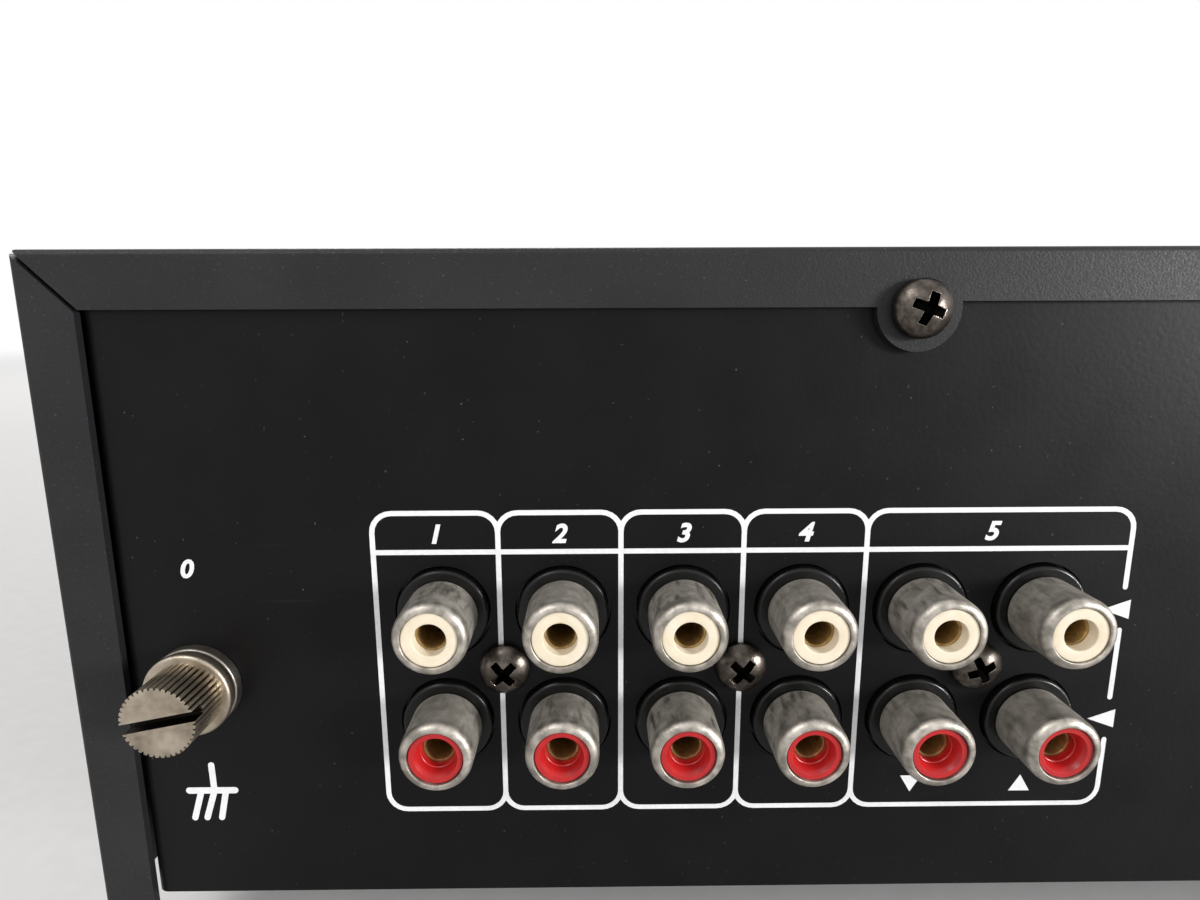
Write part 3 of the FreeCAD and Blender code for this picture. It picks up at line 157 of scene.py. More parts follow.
# %% World
ROOM_LIGHT = 0.48
world = bpy.data.worlds.new("white_room")
bpy.context.scene.world = world
world.use_nodes = True
sky = world.node_tree
sky.nodes.clear()
ray = add(sky, "ShaderNodeLightPath").outputs
direct = add(
    sky, "ShaderNodeMath", {0: ray["Is Camera Ray"], 1: ray["Is Glossy Ray"]}, operation="MAXIMUM"
)
direct = add(sky, "ShaderNodeMath", {0: direct, 1: ray["Is Transmission Ray"]}, operation="MAXIMUM")
strength = add(sky, "ShaderNodeMapRange", {"Value": direct}, {"To Min": ROOM_LIGHT, "To Max": 1.0})
white = add(sky, "ShaderNodeBackground", {"Strength": strength}, {"Color": linear("#ffffff")})
add(sky, "ShaderNodeOutputWorld", {"Surface": white})

# %% [markdown]
# Plain soft lamps: a large one high on the right of the rear, whose sheen runs over the panel and
# the lip there, a smaller one high on the left for the second glint on each socket, and one for the front.
# The floor keeps the object's shadow near by, and further away it fades into the white of the room.

# %% Lamps and floor
def lamp(name, place, aim, size, watts):
    """A square soft lamp at a place, pointing at another."""
    light = bpy.data.lights.new(name, "AREA")
    light.size = size
    light.energy = watts
    shining = bpy.data.objects.new(name, light)
    shining.location = place
    shining.rotation_euler = (Vector(aim) - Vector(place)).to_track_quat("-Z", "Y").to_euler()
    bpy.context.scene.collection.objects.link(shining)


lamp("lamp_right", (-1.25, 0.98, 0.26), (0.05, 0.1, 0.04), 0.34, 28.0)
lamp("lamp_left", (0.75, 0.85, 0.95), (0.1, 0.1, 0.04), 0.45, 5.0)
lamp("lamp_front", (0.5, -1.3, 1.1), (0, 0, 0.04), 0.9, 14.0)

FLOOR_SIZE = 12.0
floor_mesh = bpy.data.meshes.new("floor")
floor_shape = bmesh.new()
bmesh.ops.create_grid(floor_shape, x_segments=8, y_segments=8, size=FLOOR_SIZE)
floor_shape.to_mesh(floor_mesh)
floor_shape.free()
floor = bpy.data.objects.new("floor", floor_mesh)
bpy.context.scene.collection.objects.link(floor)

pale_board = bpy.data.materials.new("pale_board")
pale_board.use_nodes = True
floor_tree = pale_board.node_tree
floor_tree.nodes.clear()
place = add(floor_tree, "ShaderNodeTexCoord").outputs["Object"]
fibre = add(floor_tree, "ShaderNodeTexNoise", {"Vector": place}, {"Scale": 260.0, "Detail": 3.0})
shade = add(
    floor_tree,
    "ShaderNodeMix",
    {"Factor": fibre},
    {"A": linear("#d6d4d3"), "B": linear("#e0dfde")},
    data_type="RGBA",
)
board = add(floor_tree, "ShaderNodeBsdfPrincipled", {"Base Color": shade}, {"Roughness": 0.7})
distance = add(floor_tree, "ShaderNodeVectorMath", {0: place}, operation="LENGTH").outputs["Value"]
fade = add(
    floor_tree,
    "ShaderNodeMapRange",
    {"Value": distance},
    {"From Min": 0.4, "From Max": 3.0},
    interpolation_type="SMOOTHSTEP",
)
glow = add(floor_tree, "ShaderNodeEmission", None, {"Color": linear("#ffffff"), "Strength": 1.0})
ray = add(floor_tree, "ShaderNodeLightPath").outputs
direct = add(
    floor_tree, "ShaderNodeMath", {0: ray["Is Camera Ray"], 1: ray["Is Glossy Ray"]}, operation="MAXIMUM"
)
share = add(floor_tree, "ShaderNodeMath", {0: fade, 1: direct}, operation="MULTIPLY")
surface = add(floor_tree, "ShaderNodeMixShader", {0: share, 1: board, 2: glow})
add(floor_tree, "ShaderNodeOutputMaterial", {"Surface": surface})
floor.data.materials.append(pale_board)

# %% [markdown]
# # Finishes
# A pattern's size is given in millimetres, and `per` turns it into the scale that a texture wants.
# `patches` is the pattern that most finishes share: soft spots of one size, stretched along an axis where
# a tool left lines. Each finish then says what the spots change.

# %% Tools for finishes
def per(size):
    """The texture scale that gives spots of that size in millimetres."""
    return 1 / (size * MM)


def new_finish(name, **values):
    """A material, its tree and shader, and the place on the piece that its patterns read."""
    material = bpy.data.materials.new(name)
    material.use_nodes = True
    tree = material.node_tree
    shader = tree.nodes["Principled BSDF"]
    for label, value in values.items():
        socket(shader.inputs, label.replace("_", " ")).default_value = value
    return material, tree, shader, add(tree, "ShaderNodeTexCoord").outputs["Object"]


def give(tree, shader, **sources):
    """Link nodes to the shader's inputs of those names."""
    for label, source in sources.items():
        tree.links.new(outlet(source), shader.inputs[label.replace("_", " ")])


def patches(tree, place, size, low=0.35, high=0.65, to=(0.0, 1.0), stretch=(1, 1, 1), detail=2.0):
    """Soft spots of that size, cut off between low and high and spread over the range to."""
    squeezed = add(tree, "ShaderNodeMapping", {"Vector": place}, {"Scale": stretch})
    noise = add(
        tree, "ShaderNodeTexNoise", {"Vector": squeezed}, {"Scale": per(size), "Detail": detail}
    )
    values = {"From Min": low, "From Max": high, "To Min": to[0], "To Max": to[1]}
    return add(tree, "ShaderNodeMapRange", {"Value": noise}, values)


def relief(tree, shader, height, depth, strength=1.0):
    """Raise the surface by a pattern, by that many millimetres."""
    raised = add(
        tree, "ShaderNodeBump", {"Height": height}, {"Distance": depth * MM, "Strength": strength}
    )
    give(tree, shader, Normal=raised)


finishes = {}

# %% [markdown]
# The cover is sheet steel with a baked powder paint. The powder melts into an even, fine orange
# peel that keeps a soft grey sheen where light grazes it, and dust and lint settle in it as pale
# specks. The real grain, about 0.1 mm, would vanish in a render, so it is drawn at 0.25 mm.

# %% Powder-coated cover
material, tree, shader, place = new_finish("powder_coated_steel", Specular_IOR_Level=0.3)
peel = patches(tree, place, 0.25, 0.3, 0.7, detail=3.0)
cloud = patches(tree, place, 14.0)
grey = add(
    tree,
    "ShaderNodeMix",
    {"Factor": cloud},
    {"A": linear("#18181a"), "B": linear("#1f1f21")},
    data_type="RGBA",
)
grit = patches(tree, place, 0.3, 0.66, 0.8, to=(0.0, 0.45), detail=1.0)
speckled = add(
    tree, "ShaderNodeMix", {"Factor": grit, "A": grey}, {"B": linear("#5c5c60")}, data_type="RGBA"
)
rough = add(tree, "ShaderNodeMapRange", {"Value": peel}, {"To Min": 0.42, "To Max": 0.6})
give(tree, shader, Base_Color=speckled, Roughness=rough)
relief(tree, shader, peel, 0.025, 0.6)
finishes["cover_paint"] = material

# %% [markdown]
# The rear panel has a thinner, smoother satin black paint. It shows little of its own but the marks on
# it: fine hairlines from wiping, a few specks, and a softly uneven gloss. The hairlines are noise that
# is stretched fifteen times, in two directions.

# %% Satin rear panel
material, tree, shader, place = new_finish("satin_painted_steel", Specular_IOR_Level=0.15)
haze = patches(tree, place, 9.0)
black = add(
    tree,
    "ShaderNodeMix",
    {"Factor": haze},
    {"A": linear("#0a090a"), "B": linear("#0d0c0d")},
    data_type="RGBA",
)
specks = patches(tree, place, 0.4, 0.83, 0.87, to=(0.0, 0.4), detail=0.0)
speckled = add(
    tree, "ShaderNodeMix", {"Factor": specks, "A": black}, {"B": linear("#6d6b69")}, data_type="RGBA"
)
hair_one = patches(tree, place, 0.9, 0.76, 0.86, to=(0.0, 0.12), stretch=(1, 1, 0.06), detail=1.0)
hair_two = patches(tree, place, 0.8, 0.77, 0.86, to=(0.0, 0.12), stretch=(0.06, 1, 0.9), detail=1.0)
hairs = add(tree, "ShaderNodeMath", {0: hair_one, 1: hair_two}, operation="MAXIMUM")
lined = add(
    tree,
    "ShaderNodeMix",
    {"Factor": hairs, "A": speckled},
    {"B": linear("#3c3b3b")},
    data_type="RGBA",
)
peel = patches(tree, place, 0.6, detail=3.0)
rough = add(tree, "ShaderNodeMapRange", {"Value": haze}, {"To Min": 0.4, "To Max": 0.48})
give(tree, shader, Base_Color=lined, Roughness=rough)
relief(tree, shader, peel, 0.012, 0.5)
finishes["panel_paint"] = material

# %% [markdown]
# The front is thick aluminium, brushed from side to side and anodised black. Brushing leaves long
# fine lines, so the noise is stretched along X sixty times. The lines are drawn a third of a
# millimetre wide, which is as fine as a render can show.

# %% Brushed and anodised front
def brushed(name, colour, pale, stretch, width, roughness):
    """Anodised aluminium with lines along one axis."""
    material, tree, shader, place = new_finish(name, Metallic=0.85)
    lines = patches(tree, place, width, 0.25, 0.75, stretch=stretch, detail=4.0)
    tone = add(
        tree,
        "ShaderNodeMix",
        {"Factor": lines},
        {"A": linear(colour), "B": linear(pale)},
        data_type="RGBA",
    )
    spread = (roughness - 0.06, roughness + 0.08)
    rough = add(tree, "ShaderNodeMapRange", {"Value": lines}, {"To Min": spread[0], "To Max": spread[1]})
    give(tree, shader, Base_Color=tone, Roughness=rough)
    relief(tree, shader, lines, 0.02, 0.35)
    return material


finishes["front_anodised"] = brushed("brushed_anodised_aluminium", "#18181a", "#242427", (0.016, 1, 1), 0.33, 0.4)
finishes["heat_sink_aluminium"] = brushed("extruded_aluminium", "#8c8e91", "#a7a9ac", (1, 1, 0.02), 0.5, 0.42)

# %% [markdown]
# Plated parts are steel or brass under nickel, zinc or a black oxide. The plating dulls in patches,
# stains brown at its edges, and shows fine scuffs. One function makes them all: a clean colour, a stained
# colour, and a roughness for each.

# %% Plated metal
def plated(
    name, clean, stained, patch=1.6, polish=0.3, dull=0.5, scuff=0.02, marked=None
):
    """A plated metal with stained patches and fine scuffs, and other colours where it is marked."""
    material, tree, shader, place = new_finish(name, Metallic=1.0)
    worn = patches(tree, place, patch, 0.32, 0.68, detail=5.0)
    tone = add(
        tree,
        "ShaderNodeMix",
        {"Factor": worn},
        {"A": linear(clean), "B": linear(stained)},
        data_type="RGBA",
    )
    for label, other in (marked or {}).items():
        mask = add(tree, "ShaderNodeAttribute", attribute_name=label).outputs["Fac"]
        colours = {"B": linear(other)}
        tone = add(tree, "ShaderNodeMix", {"Factor": mask, "A": tone}, colours, data_type="RGBA")
    rough = add(tree, "ShaderNodeMapRange", {"Value": worn}, {"To Min": polish, "To Max": dull})
    fine = patches(tree, place, 0.3, 0.25, 0.75, detail=3.0)
    give(tree, shader, Base_Color=tone, Roughness=rough)
    relief(tree, shader, fine, scuff, 0.5)
    return material


finishes["zinc_steel"] = plated("zinc_plated_steel", "#b4b6b8", "#979a9b", 6.0, 0.28, 0.42)
finishes["zinc_screw"] = plated("zinc_plated_screw", "#b0ada2", "#8b877c", 1.2)
# The first marked colour is painted shade inside each cross recess; the second is wear on the recess rim.
finishes["black_screw"] = plated("black_oxide_steel", "#6e665f", "#3a3531", 0.9, 0.26, 0.4, 0.02, {"painted_hollow_shade": "#0b0a09", "rubbed": "#c9c2b8"})
finishes["nickel_plate"] = plated("dull_nickel", "#a8a299", "#77716a", 1.3, 0.3, 0.5)
# The marked colour is painted shade in the knurl's valleys and the coin slot.
finishes["ground_nickel"] = plated("grained_nickel", "#c2b6a5", "#8f8474", 2.2, 0.36, 0.48, 0.03, {"painted_hollow_shade": "#25211c"})
finishes["brass_contact"] = plated("tarnished_bronze", "#c2a878", "#93794a", 0.8, 0.4, 0.6)
finishes["shaft_steel"] = plated("drawn_steel", "#a9aaab", "#8f9091", 2.0, 0.25, 0.35)

# %% [markdown]
# The socket shells deserve their own nickel. Fingers and plugs keep the rolled lip bright, while the
# barrel behind it has gone grey and blotchy, with dark rubbed streaks along it. How far a point is
# from the lip is its place along Y, and the noise is stretched along Y for the streaks. Each shell also
# carries a number of its own, `own`, that makes some of them darker.

# %% Nickel of the socket shells
lip_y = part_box("jack_shells")[1].y
material, tree, shader, place = new_finish("scuffed_nickel")
along = add(tree, "ShaderNodeSeparateXYZ", {0: place}).outputs["Y"]
barrel = add(
    tree,
    "ShaderNodeMapRange",
    {"Value": along},
    {"From Min": lip_y - 0.7 * MM, "From Max": lip_y - 2.0 * MM},
    interpolation_type="SMOOTHSTEP",
)
own = add(tree, "ShaderNodeAttribute", attribute_name="own").outputs["Fac"]
blotch = patches(tree, place, 1.5, 0.3, 0.62, detail=6.0)
streak = patches(tree, place, 1.0, 0.5, 0.66, stretch=(1, 0.3, 1), detail=5.0)
darker = add(tree, "ShaderNodeMapRange", {"Value": own}, {"To Min": 0.3, "To Max": 1.0})
rubbed = add(tree, "ShaderNodeMath", {0: streak, 1: darker}, operation="MULTIPLY")
rubbed = add(tree, "ShaderNodeMath", {0: rubbed, 1: barrel}, operation="MULTIPLY")
nickel = add(
    tree,
    "ShaderNodeMix",
    {"Factor": barrel},
    {"A": linear("#cfc7bd"), "B": linear("#b3ada3")},
    data_type="RGBA",
)
dulled = add(
    tree,
    "ShaderNodeMix",
    {"Factor": blotch, "A": nickel},
    {"B": linear("#8a857c")},
    data_type="RGBA",
)
streaked = add(
    tree,
    "ShaderNodeMix",
    {"Factor": rubbed, "A": dulled},
    {"B": linear("#45413b")},
    data_type="RGBA",
)
matt = add(tree, "ShaderNodeMath", {0: blotch, 1: barrel}, operation="MULTIPLY")
rough = add(tree, "ShaderNodeMapRange", {"Value": matt}, {"To Min": 0.42, "To Max": 0.6})
grit = patches(tree, place, 0.22, 0.25, 0.75, stretch=(1, 0.5, 1), detail=3.0)
oxide = add(tree, "ShaderNodeMapRange", {"Value": barrel}, {"To Min": 0.75, "To Max": 0.35})
give(tree, shader, Base_Color=streaked, Roughness=rough, Metallic=oxide)
relief(tree, shader, grit, 0.03, 0.5)
shell_nickel = material

# %% [markdown]
# Moulded parts take their look from the plastic and from the tool that shaped it: a glossy tool gives
# the collars and the red inserts their glints, a spark-eroded one gives buttons and levers an even grain.
# Colour drifts a little across each, because plastic yellows and gathers dust unevenly.

# %% Moulded plastics
def moulded(name, colour, aged, roughness, grain=0.25, depth=0.01, drift=5.0, **values):
    """A plastic of that colour, ageing towards another, with the grain of its tool."""
    material, tree, shader, place = new_finish(name, **values)
    age = patches(tree, place, drift, 0.3, 0.7, detail=4.0)
    tone = add(
        tree,
        "ShaderNodeMix",
        {"Factor": age},
        {"A": linear(colour), "B": linear(aged)},
        data_type="RGBA",
    )
    rough = add(
        tree, "ShaderNodeMapRange", {"Value": age}, {"To Min": roughness, "To Max": roughness + 0.1}
    )
    texture = patches(tree, place, grain, 0.2, 0.8, detail=3.0)
    give(tree, shader, Base_Color=tone, Roughness=rough)
    relief(tree, shader, texture, depth, 0.5)
    return material


finishes["black_moulding"] = moulded(
    "glossy_black_abs", "#0a0a0a", "#0f0f0e", 0.24, 0.5, 0.006, Specular_IOR_Level=0.3
)
finishes["white_insulator"] = moulded("cream_polypropylene", "#e9dec9", "#dfd1b6", 0.36, 0.4, 0.008, 2.0)
finishes["red_insulator"] = moulded("red_polypropylene", "#b91e1f", "#a5171b", 0.26, 0.4, 0.006, 2.0)
finishes["red_lever"] = moulded("grained_red_abs", "#b3201d", "#a01a19", 0.4)
finishes["black_lever"] = moulded("grained_black_abs", "#141414", "#1a1a19", 0.42)
finishes["button_moulding"] = moulded("satin_black_abs", "#161617", "#1b1b1c", 0.35)
finishes["foot_rubber"] = moulded("black_rubber", "#121212", "#1b1a19", 0.68, 0.4, 0.04)
finishes["switch_case"] = moulded("dark_phenolic", "#26221f", "#2e2925", 0.45)
finishes["relay_case"] = moulded("smoked_polycarbonate", "#2a3a52", "#22304a", 0.25)
finishes["capacitor_sleeve"] = moulded("shrunk_pvc_sleeve", "#152238", "#1b2c47", 0.28, 2.0, 0.02)
finishes["chip_epoxy"] = moulded("moulded_epoxy", "#1a1a1a", "#202020", 0.5)
finishes["lamp_lens"] = moulded("red_acrylic", "#c01a12", "#a8130e", 0.12, Transmission_Weight=0.4)
finishes["fuse_glass"] = moulded("fuse_glass_and_caps", "#dfe5e3", "#c9cfcd", 0.08, Transmission_Weight=0.6)
finishes["coil_wrap"] = moulded("polyester_tape", "#c8a93c", "#b8962f", 0.3, 3.0, 0.05, 8.0)
finishes["lacquered_iron"] = moulded("lacquered_laminations", "#3a332d", "#463d35", 0.35, 0.5, 0.04)

# %% [markdown]
# Three finishes have a pattern that a plain moulding lacks. A circuit board is glass cloth under green
# lacquer, with copper tracks that show as paler bands. A ribbon cable is a row of round wires
# side by side, and its colour is darker in the grooves between them as painted shade. The white marks
# are silk-screen ink, thick enough to stand proud and to break up a little at the edge of a stroke.

# %% Board, ribbon and ink
material, tree, shader, place = new_finish("green_solder_mask", Roughness=0.32)
tracks = add(
    tree,
    "ShaderNodeTexBrick",
    {"Vector": place},
    {
        "Scale": per(9.0),
        "Color1": linear("#1c5a36"),
        "Color2": linear("#226640"),
        "Mortar": linear("#123f25"),
        "Mortar Size": 0.08,
    },
)
give(tree, shader, Base_Color=tracks.outputs["Color"])
relief(tree, shader, tracks.outputs["Fac"], 0.03, 0.4)
finishes["circuit_board"] = material

material, tree, shader, place = new_finish("grey_ribbon_pvc", Roughness=0.5)
wires = add(
    tree, "ShaderNodeTexWave", {"Vector": place}, {"Scale": per(1.27) / 20}, bands_direction="X"
)
# The colour follows the wires' relief, darker in the grooves and paler on the crowns: painted shade.
tone = add(
    tree,
    "ShaderNodeMix",
    {"Factor": wires},
    {"A": linear("#7a7c80"), "B": linear("#a2a4a8")},
    data_type="RGBA",
)
give(tree, shader, Base_Color=tone)
relief(tree, shader, wires, 0.3, 0.6)
finishes["ribbon_insulation"] = material

ink_white, tree, shader, place = new_finish("silk_screen_ink", Roughness=0.55)
thin = patches(tree, place, 0.5, 0.25, 0.8, detail=4.0)
tone = add(
    tree,
    "ShaderNodeMix",
    {"Factor": thin},
    {"A": linear("#ececee"), "B": linear("#dddddf")},
    data_type="RGBA",
)
give(tree, shader, Base_Color=tone)
relief(tree, shader, thin, 0.02, 0.4)
print("finishes:", len(finishes) + 2)

# %% [markdown]
# # Shapes
# Three ways of making a mesh serve almost every piece. A CAD node is loose triangles, so `eased` merges a
# copy of it, turns it back into whole faces and rounds its sharp edges a little, because no real edge
# is perfectly sharp and the rounding is what catches the light. `turned` is a lathe. `worked` runs
# modifiers and keeps the plain result, so nothing live is left on a piece.

# %% Tools for shapes
SHARP = math.radians(35)


def kept(shape, name, matrix=None):
    """Turn a bmesh into a mesh with outward faces, smooth but for its sharp edges."""
    bmesh.ops.recalc_face_normals(shape, faces=shape.faces)
    mesh = bpy.data.meshes.new(name)
    shape.to_mesh(mesh)
    shape.free()
    if matrix:
        mesh.transform(matrix)
    mesh.shade_smooth()
    mesh.set_sharp_from_angle(angle=SHARP)
    return mesh


def worked(mesh, *steps):
    """Run modifiers, each given as its kind and its settings, and return the plain result."""
    holder = bpy.data.objects.new(mesh.name, mesh)
    bpy.context.scene.collection.objects.link(holder)
    for kind, settings in steps:
        modifier = holder.modifiers.new(kind, kind)
        for name, value in settings.items():
            if name == "inputs":
                for item in modifier.node_group.interface.items_tree:
                    if item.in_out == "INPUT" and item.name in value:
                        modifier[item.identifier] = value[item.name]
            else:
                setattr(modifier, name, value)
    graph = bpy.context.evaluated_depsgraph_get()
    result = bpy.data.meshes.new_from_object(holder.evaluated_get(graph))
    bpy.data.objects.remove(holder)
    result.shade_smooth()
    result.set_sharp_from_angle(angle=SHARP)
    return result


def turned(name, outline, steps=64, ring=False):
    """A lathe: (radius, height) points in millimetres, turned round Z. A ring closes on itself."""
    shape = bmesh.new()
    rings = []
    places = [(round(radius, 5), round(height, 5)) for radius, height in outline]
    for radius, height in [here for here, last in zip(places, [None] + places) if here != last]:
        angles = [2 * math.pi * n / steps for n in range(steps if radius > 1e-6 else 1)]
        points = [(radius * math.cos(a), radius * math.sin(a), height) for a in angles]
        rings.append([shape.verts.new(Vector(point) * MM) for point in points])
    for low, high in zip(rings, rings[1:] + (rings[:1] if ring else [])):
        for n in range(steps):
            corners = [low[n % len(low)], low[(n + 1) % len(low)]]
            corners += [high[(n + 1) % len(high)], high[n % len(high)]]
            corners = list(dict.fromkeys(corners))
            if len(corners) > 2:
                shape.faces.new(corners)
    return kept(shape, name)


def arc(middle, radius, start, end, steps=6):
    """Points of an outline's rounded corner, between two angles in degrees."""
    angles = [math.radians(start + (end - start) * n / steps) for n in range(steps + 1)]
    return [(middle[0] + radius * math.cos(a), middle[1] + radius * math.sin(a)) for a in angles]


def joined(name, meshes):
    """Several closed meshes as one."""
    shape = bmesh.new()
    for mesh in meshes:
        shape.from_mesh(mesh)
    result = kept(shape, name)
    return result


def mark_faces(mesh, label, test):
    """Mark the faces that pass a test, for a finish to read."""
    if label not in mesh.attributes:
        mesh.attributes.new(label, "FLOAT", "CORNER")
    marks = mesh.attributes[label].data
    for face in mesh.polygons:
        if test(face):
            for corner in face.loop_indices:
                marks[corner].value = 1.0


def piece(name, mesh, finish, body="case", replaces=()):
    """Show a mesh as a piece that moves with a body and has one finish."""
    if finish:
        mesh.materials.clear()
        mesh.materials.append(finish)
    made = bpy.data.objects.new(name, mesh)
    bpy.context.scene.collection.objects.link(made)
    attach(made, body)
    if replaces:
        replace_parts(made, *replaces)
    return made


def merged(node):
    """A copy of a CAD node as one welded bmesh with whole flat faces."""
    shape = bmesh.new()
    shape.from_mesh(frame["nodes"][node].data)
    bmesh.ops.remove_doubles(shape, verts=shape.verts, dist=1e-6)
    flat = math.radians(0.5)
    bmesh.ops.dissolve_limit(shape, angle_limit=flat, verts=shape.verts, edges=shape.edges)
    return shape


def eased(node, width, degrees=40):
    """A welded copy of a CAD node with its sharp edges rounded by that many millimetres."""
    mesh = kept(merged(node), node + "_finished")
    settings = {"width": width * MM, "segments": 2, "limit_method": "ANGLE"}
    settings |= {"angle_limit": math.radians(degrees), "use_clamp_overlap": True}
    rounded = worked(mesh, ("BEVEL", settings))
    return worked(rounded, ("WEIGHTED_NORMAL", {"keep_sharp": True, "weight": 100}))


def solids_of(node):
    """The lowest and highest corner of each separate solid in a CAD node."""
    shape = merged(node)
    left, boxes = set(shape.verts), []
    while left:
        group, edge = set(), [left.pop()]
        while edge:
            vertex = edge.pop()
            group.add(vertex)
            for other in (line.other_vert(vertex) for line in vertex.link_edges):
                if other in left:
                    left.remove(other)
                    edge.append(other)
        low = Vector([min(v.co[k] for v in group) for k in range(3)])
        high = Vector([max(v.co[k] for v in group) for k in range(3)])
        boxes.append((low, high))
    shape.free()
    return boxes


# %% [markdown]
# ## Three patterns that repeat
# Sockets, screws and feet stand in rows. One Geometry Nodes tree sets a blank out in columns and rows, gives
# each copy a small turn of its own, so that no two scratches line up, and stores a number, `own`,
# that a finish can read. A second tree sets a blank out round a circle, for the marks of a dial. A
# third makes a knurled bar from a circle whose every other pair of points is pulled in.

# %% Tree for rows
def new_tree(name, inputs):
    """A Geometry Nodes tree with one geometry output and these named inputs."""
    tree = bpy.data.node_groups.new(name, "GeometryNodeTree")
    tree.interface.new_socket("Geometry", in_out="OUTPUT", socket_type="NodeSocketGeometry")
    for label, kind in inputs.items():
        tree.interface.new_socket(label, in_out="INPUT", socket_type="NodeSocket" + kind)
    return tree, add(tree, "NodeGroupInput").outputs


def finish_tree(tree, instances, finish):
    """End a tree: real faces, with their finish."""
    real = add(tree, "GeometryNodeRealizeInstances", {"Geometry": instances})
    painted = add(tree, "GeometryNodeSetMaterial", {"Geometry": real, "Material": finish})
    add(tree, "NodeGroupOutput", {"Geometry": painted})


in_rows, given = new_tree(
    "in_rows",
    {
        "Blank": "Geometry",
        "First": "Vector",
        "Step": "Vector",
        "Row step": "Vector",
        "Columns": "Int",
        "Rows": "Int",
        "Spread": "Float",
        "Seed": "Int",
        "Finish": "Material",
    },
)
index = add(in_rows, "GeometryNodeInputIndex")
column = add(in_rows, "FunctionNodeIntegerMath", {0: index, 1: given["Columns"]}, operation="MODULO")
row = add(in_rows, "FunctionNodeIntegerMath", {0: index, 1: given["Columns"]}, operation="DIVIDE_FLOOR")
across = add(in_rows, "ShaderNodeVectorMath", {0: given["Step"], "Scale": column}, operation="SCALE")
down = add(in_rows, "ShaderNodeVectorMath", {0: given["Row step"], "Scale": row}, operation="SCALE")
reach = add(in_rows, "ShaderNodeVectorMath", {0: across, 1: down}, operation="ADD")
spot = add(in_rows, "ShaderNodeVectorMath", {0: given["First"], 1: reach}, operation="ADD")
count = add(
    in_rows,
    "FunctionNodeIntegerMath",
    {0: given["Columns"], 1: given["Rows"]},
    operation="MULTIPLY",
)
points = add(in_rows, "GeometryNodePoints", {"Count": count, "Position": spot})
copies = add(in_rows, "GeometryNodeInstanceOnPoints", {"Points": points, "Instance": given["Blank"]})
chance = add(
    in_rows,
    "FunctionNodeRandomValue",
    {"Max_001": given["Spread"], "Seed": given["Seed"]},
    data_type="FLOAT",
)
twist = add(in_rows, "ShaderNodeCombineXYZ", {"Z": chance})
twisted = add(in_rows, "GeometryNodeRotateInstances", {"Instances": copies, "Rotation": twist})
number = add(in_rows, "FunctionNodeRandomValue", {"Seed": given["Seed"]}, data_type="FLOAT")
marked = add(
    in_rows,
    "GeometryNodeStoreNamedAttribute",
    {"Geometry": twisted, "Value": number},
    {"Name": "own"},
    domain="INSTANCE",
    data_type="FLOAT",
)
finish_tree(in_rows, marked, given["Finish"])


def set_out(blank, finish, first, step=(0, 0, 0), columns=1, row_step=(0, 0, 0), rows=1, spread=0.0, seed=1):
    """Copies of a blank in columns and rows. Places are in millimetres."""
    inputs = {
        "First": [value * MM for value in first],
        "Step": [value * MM for value in step],
        "Row step": [value * MM for value in row_step],
        "Columns": columns,
        "Rows": rows,
        "Spread": spread,
        "Seed": seed,
        "Finish": finish,
    }
    return worked(blank, ("NODES", {"node_group": in_rows, "inputs": inputs}))


# %% Tree for marks round a dial
in_a_ring, given = new_tree(
    "in_a_ring",
    {
        "Blank": "Geometry",
        "Count": "Int",
        "Radius": "Float",
        "Start": "Float",
        "Step": "Float",
        "Finish": "Material",
    },
)
index = add(in_a_ring, "GeometryNodeInputIndex")
turn = add(
    in_a_ring,
    "ShaderNodeMath",
    {0: index, 1: given["Step"], 2: given["Start"]},
    operation="MULTIPLY_ADD",
)
sine = add(in_a_ring, "ShaderNodeMath", {0: turn}, operation="SINE")
cosine = add(in_a_ring, "ShaderNodeMath", {0: turn}, operation="COSINE")
outward = add(in_a_ring, "ShaderNodeCombineXYZ", {"X": sine, "Y": cosine})
spot = add(
    in_a_ring, "ShaderNodeVectorMath", {0: outward, "Scale": given["Radius"]}, operation="SCALE"
)
points = add(in_a_ring, "GeometryNodePoints", {"Count": given["Count"], "Position": spot})
back = add(in_a_ring, "ShaderNodeMath", {0: turn}, {1: -1.0}, operation="MULTIPLY")
facing_out = add(in_a_ring, "ShaderNodeCombineXYZ", {"Z": back})
copies = add(
    in_a_ring,
    "GeometryNodeInstanceOnPoints",
    {"Points": points, "Instance": given["Blank"], "Rotation": facing_out},
)
finish_tree(in_a_ring, copies, given["Finish"])

# %% Tree for a knurled bar
knurled, given = new_tree(
    "knurled_bar",
    {
        "Blank": "Geometry",
        "Teeth": "Int",
        "Radius": "Float",
        "Depth": "Float",
        "Height": "Float",
        "Finish": "Material",
    },
)
corners = add(knurled, "FunctionNodeIntegerMath", {0: given["Teeth"]}, {1: 6}, operation="MULTIPLY")
circle = add(
    knurled,
    "GeometryNodeMeshCircle",
    {"Vertices": corners, "Radius": given["Radius"]},
    fill_type="NGON",
)
index = add(knurled, "GeometryNodeInputIndex")
within = add(knurled, "FunctionNodeIntegerMath", {0: index}, {1: 6}, operation="MODULO")
valley = add(knurled, "FunctionNodeCompare", {2: within}, {3: 3}, data_type="INT", operation="GREATER_THAN")
position = add(knurled, "GeometryNodeInputPosition")
inward = add(knurled, "ShaderNodeVectorMath", {0: position}, operation="NORMALIZE")
depth = add(knurled, "ShaderNodeMath", {0: given["Depth"]}, {1: -1.0}, operation="MULTIPLY")
pulled = add(knurled, "ShaderNodeVectorMath", {0: inward, "Scale": depth}, operation="SCALE")
star = add(
    knurled, "GeometryNodeSetPosition", {"Geometry": circle, "Selection": valley, "Offset": pulled}
)
upward = add(knurled, "ShaderNodeCombineXYZ", {"Z": given["Height"]})
grown = add(knurled, "GeometryNodeExtrudeMesh", {"Mesh": star, "Offset": upward}, {"Individual": False})
base = add(knurled, "GeometryNodeFlipFaces", {"Mesh": star})
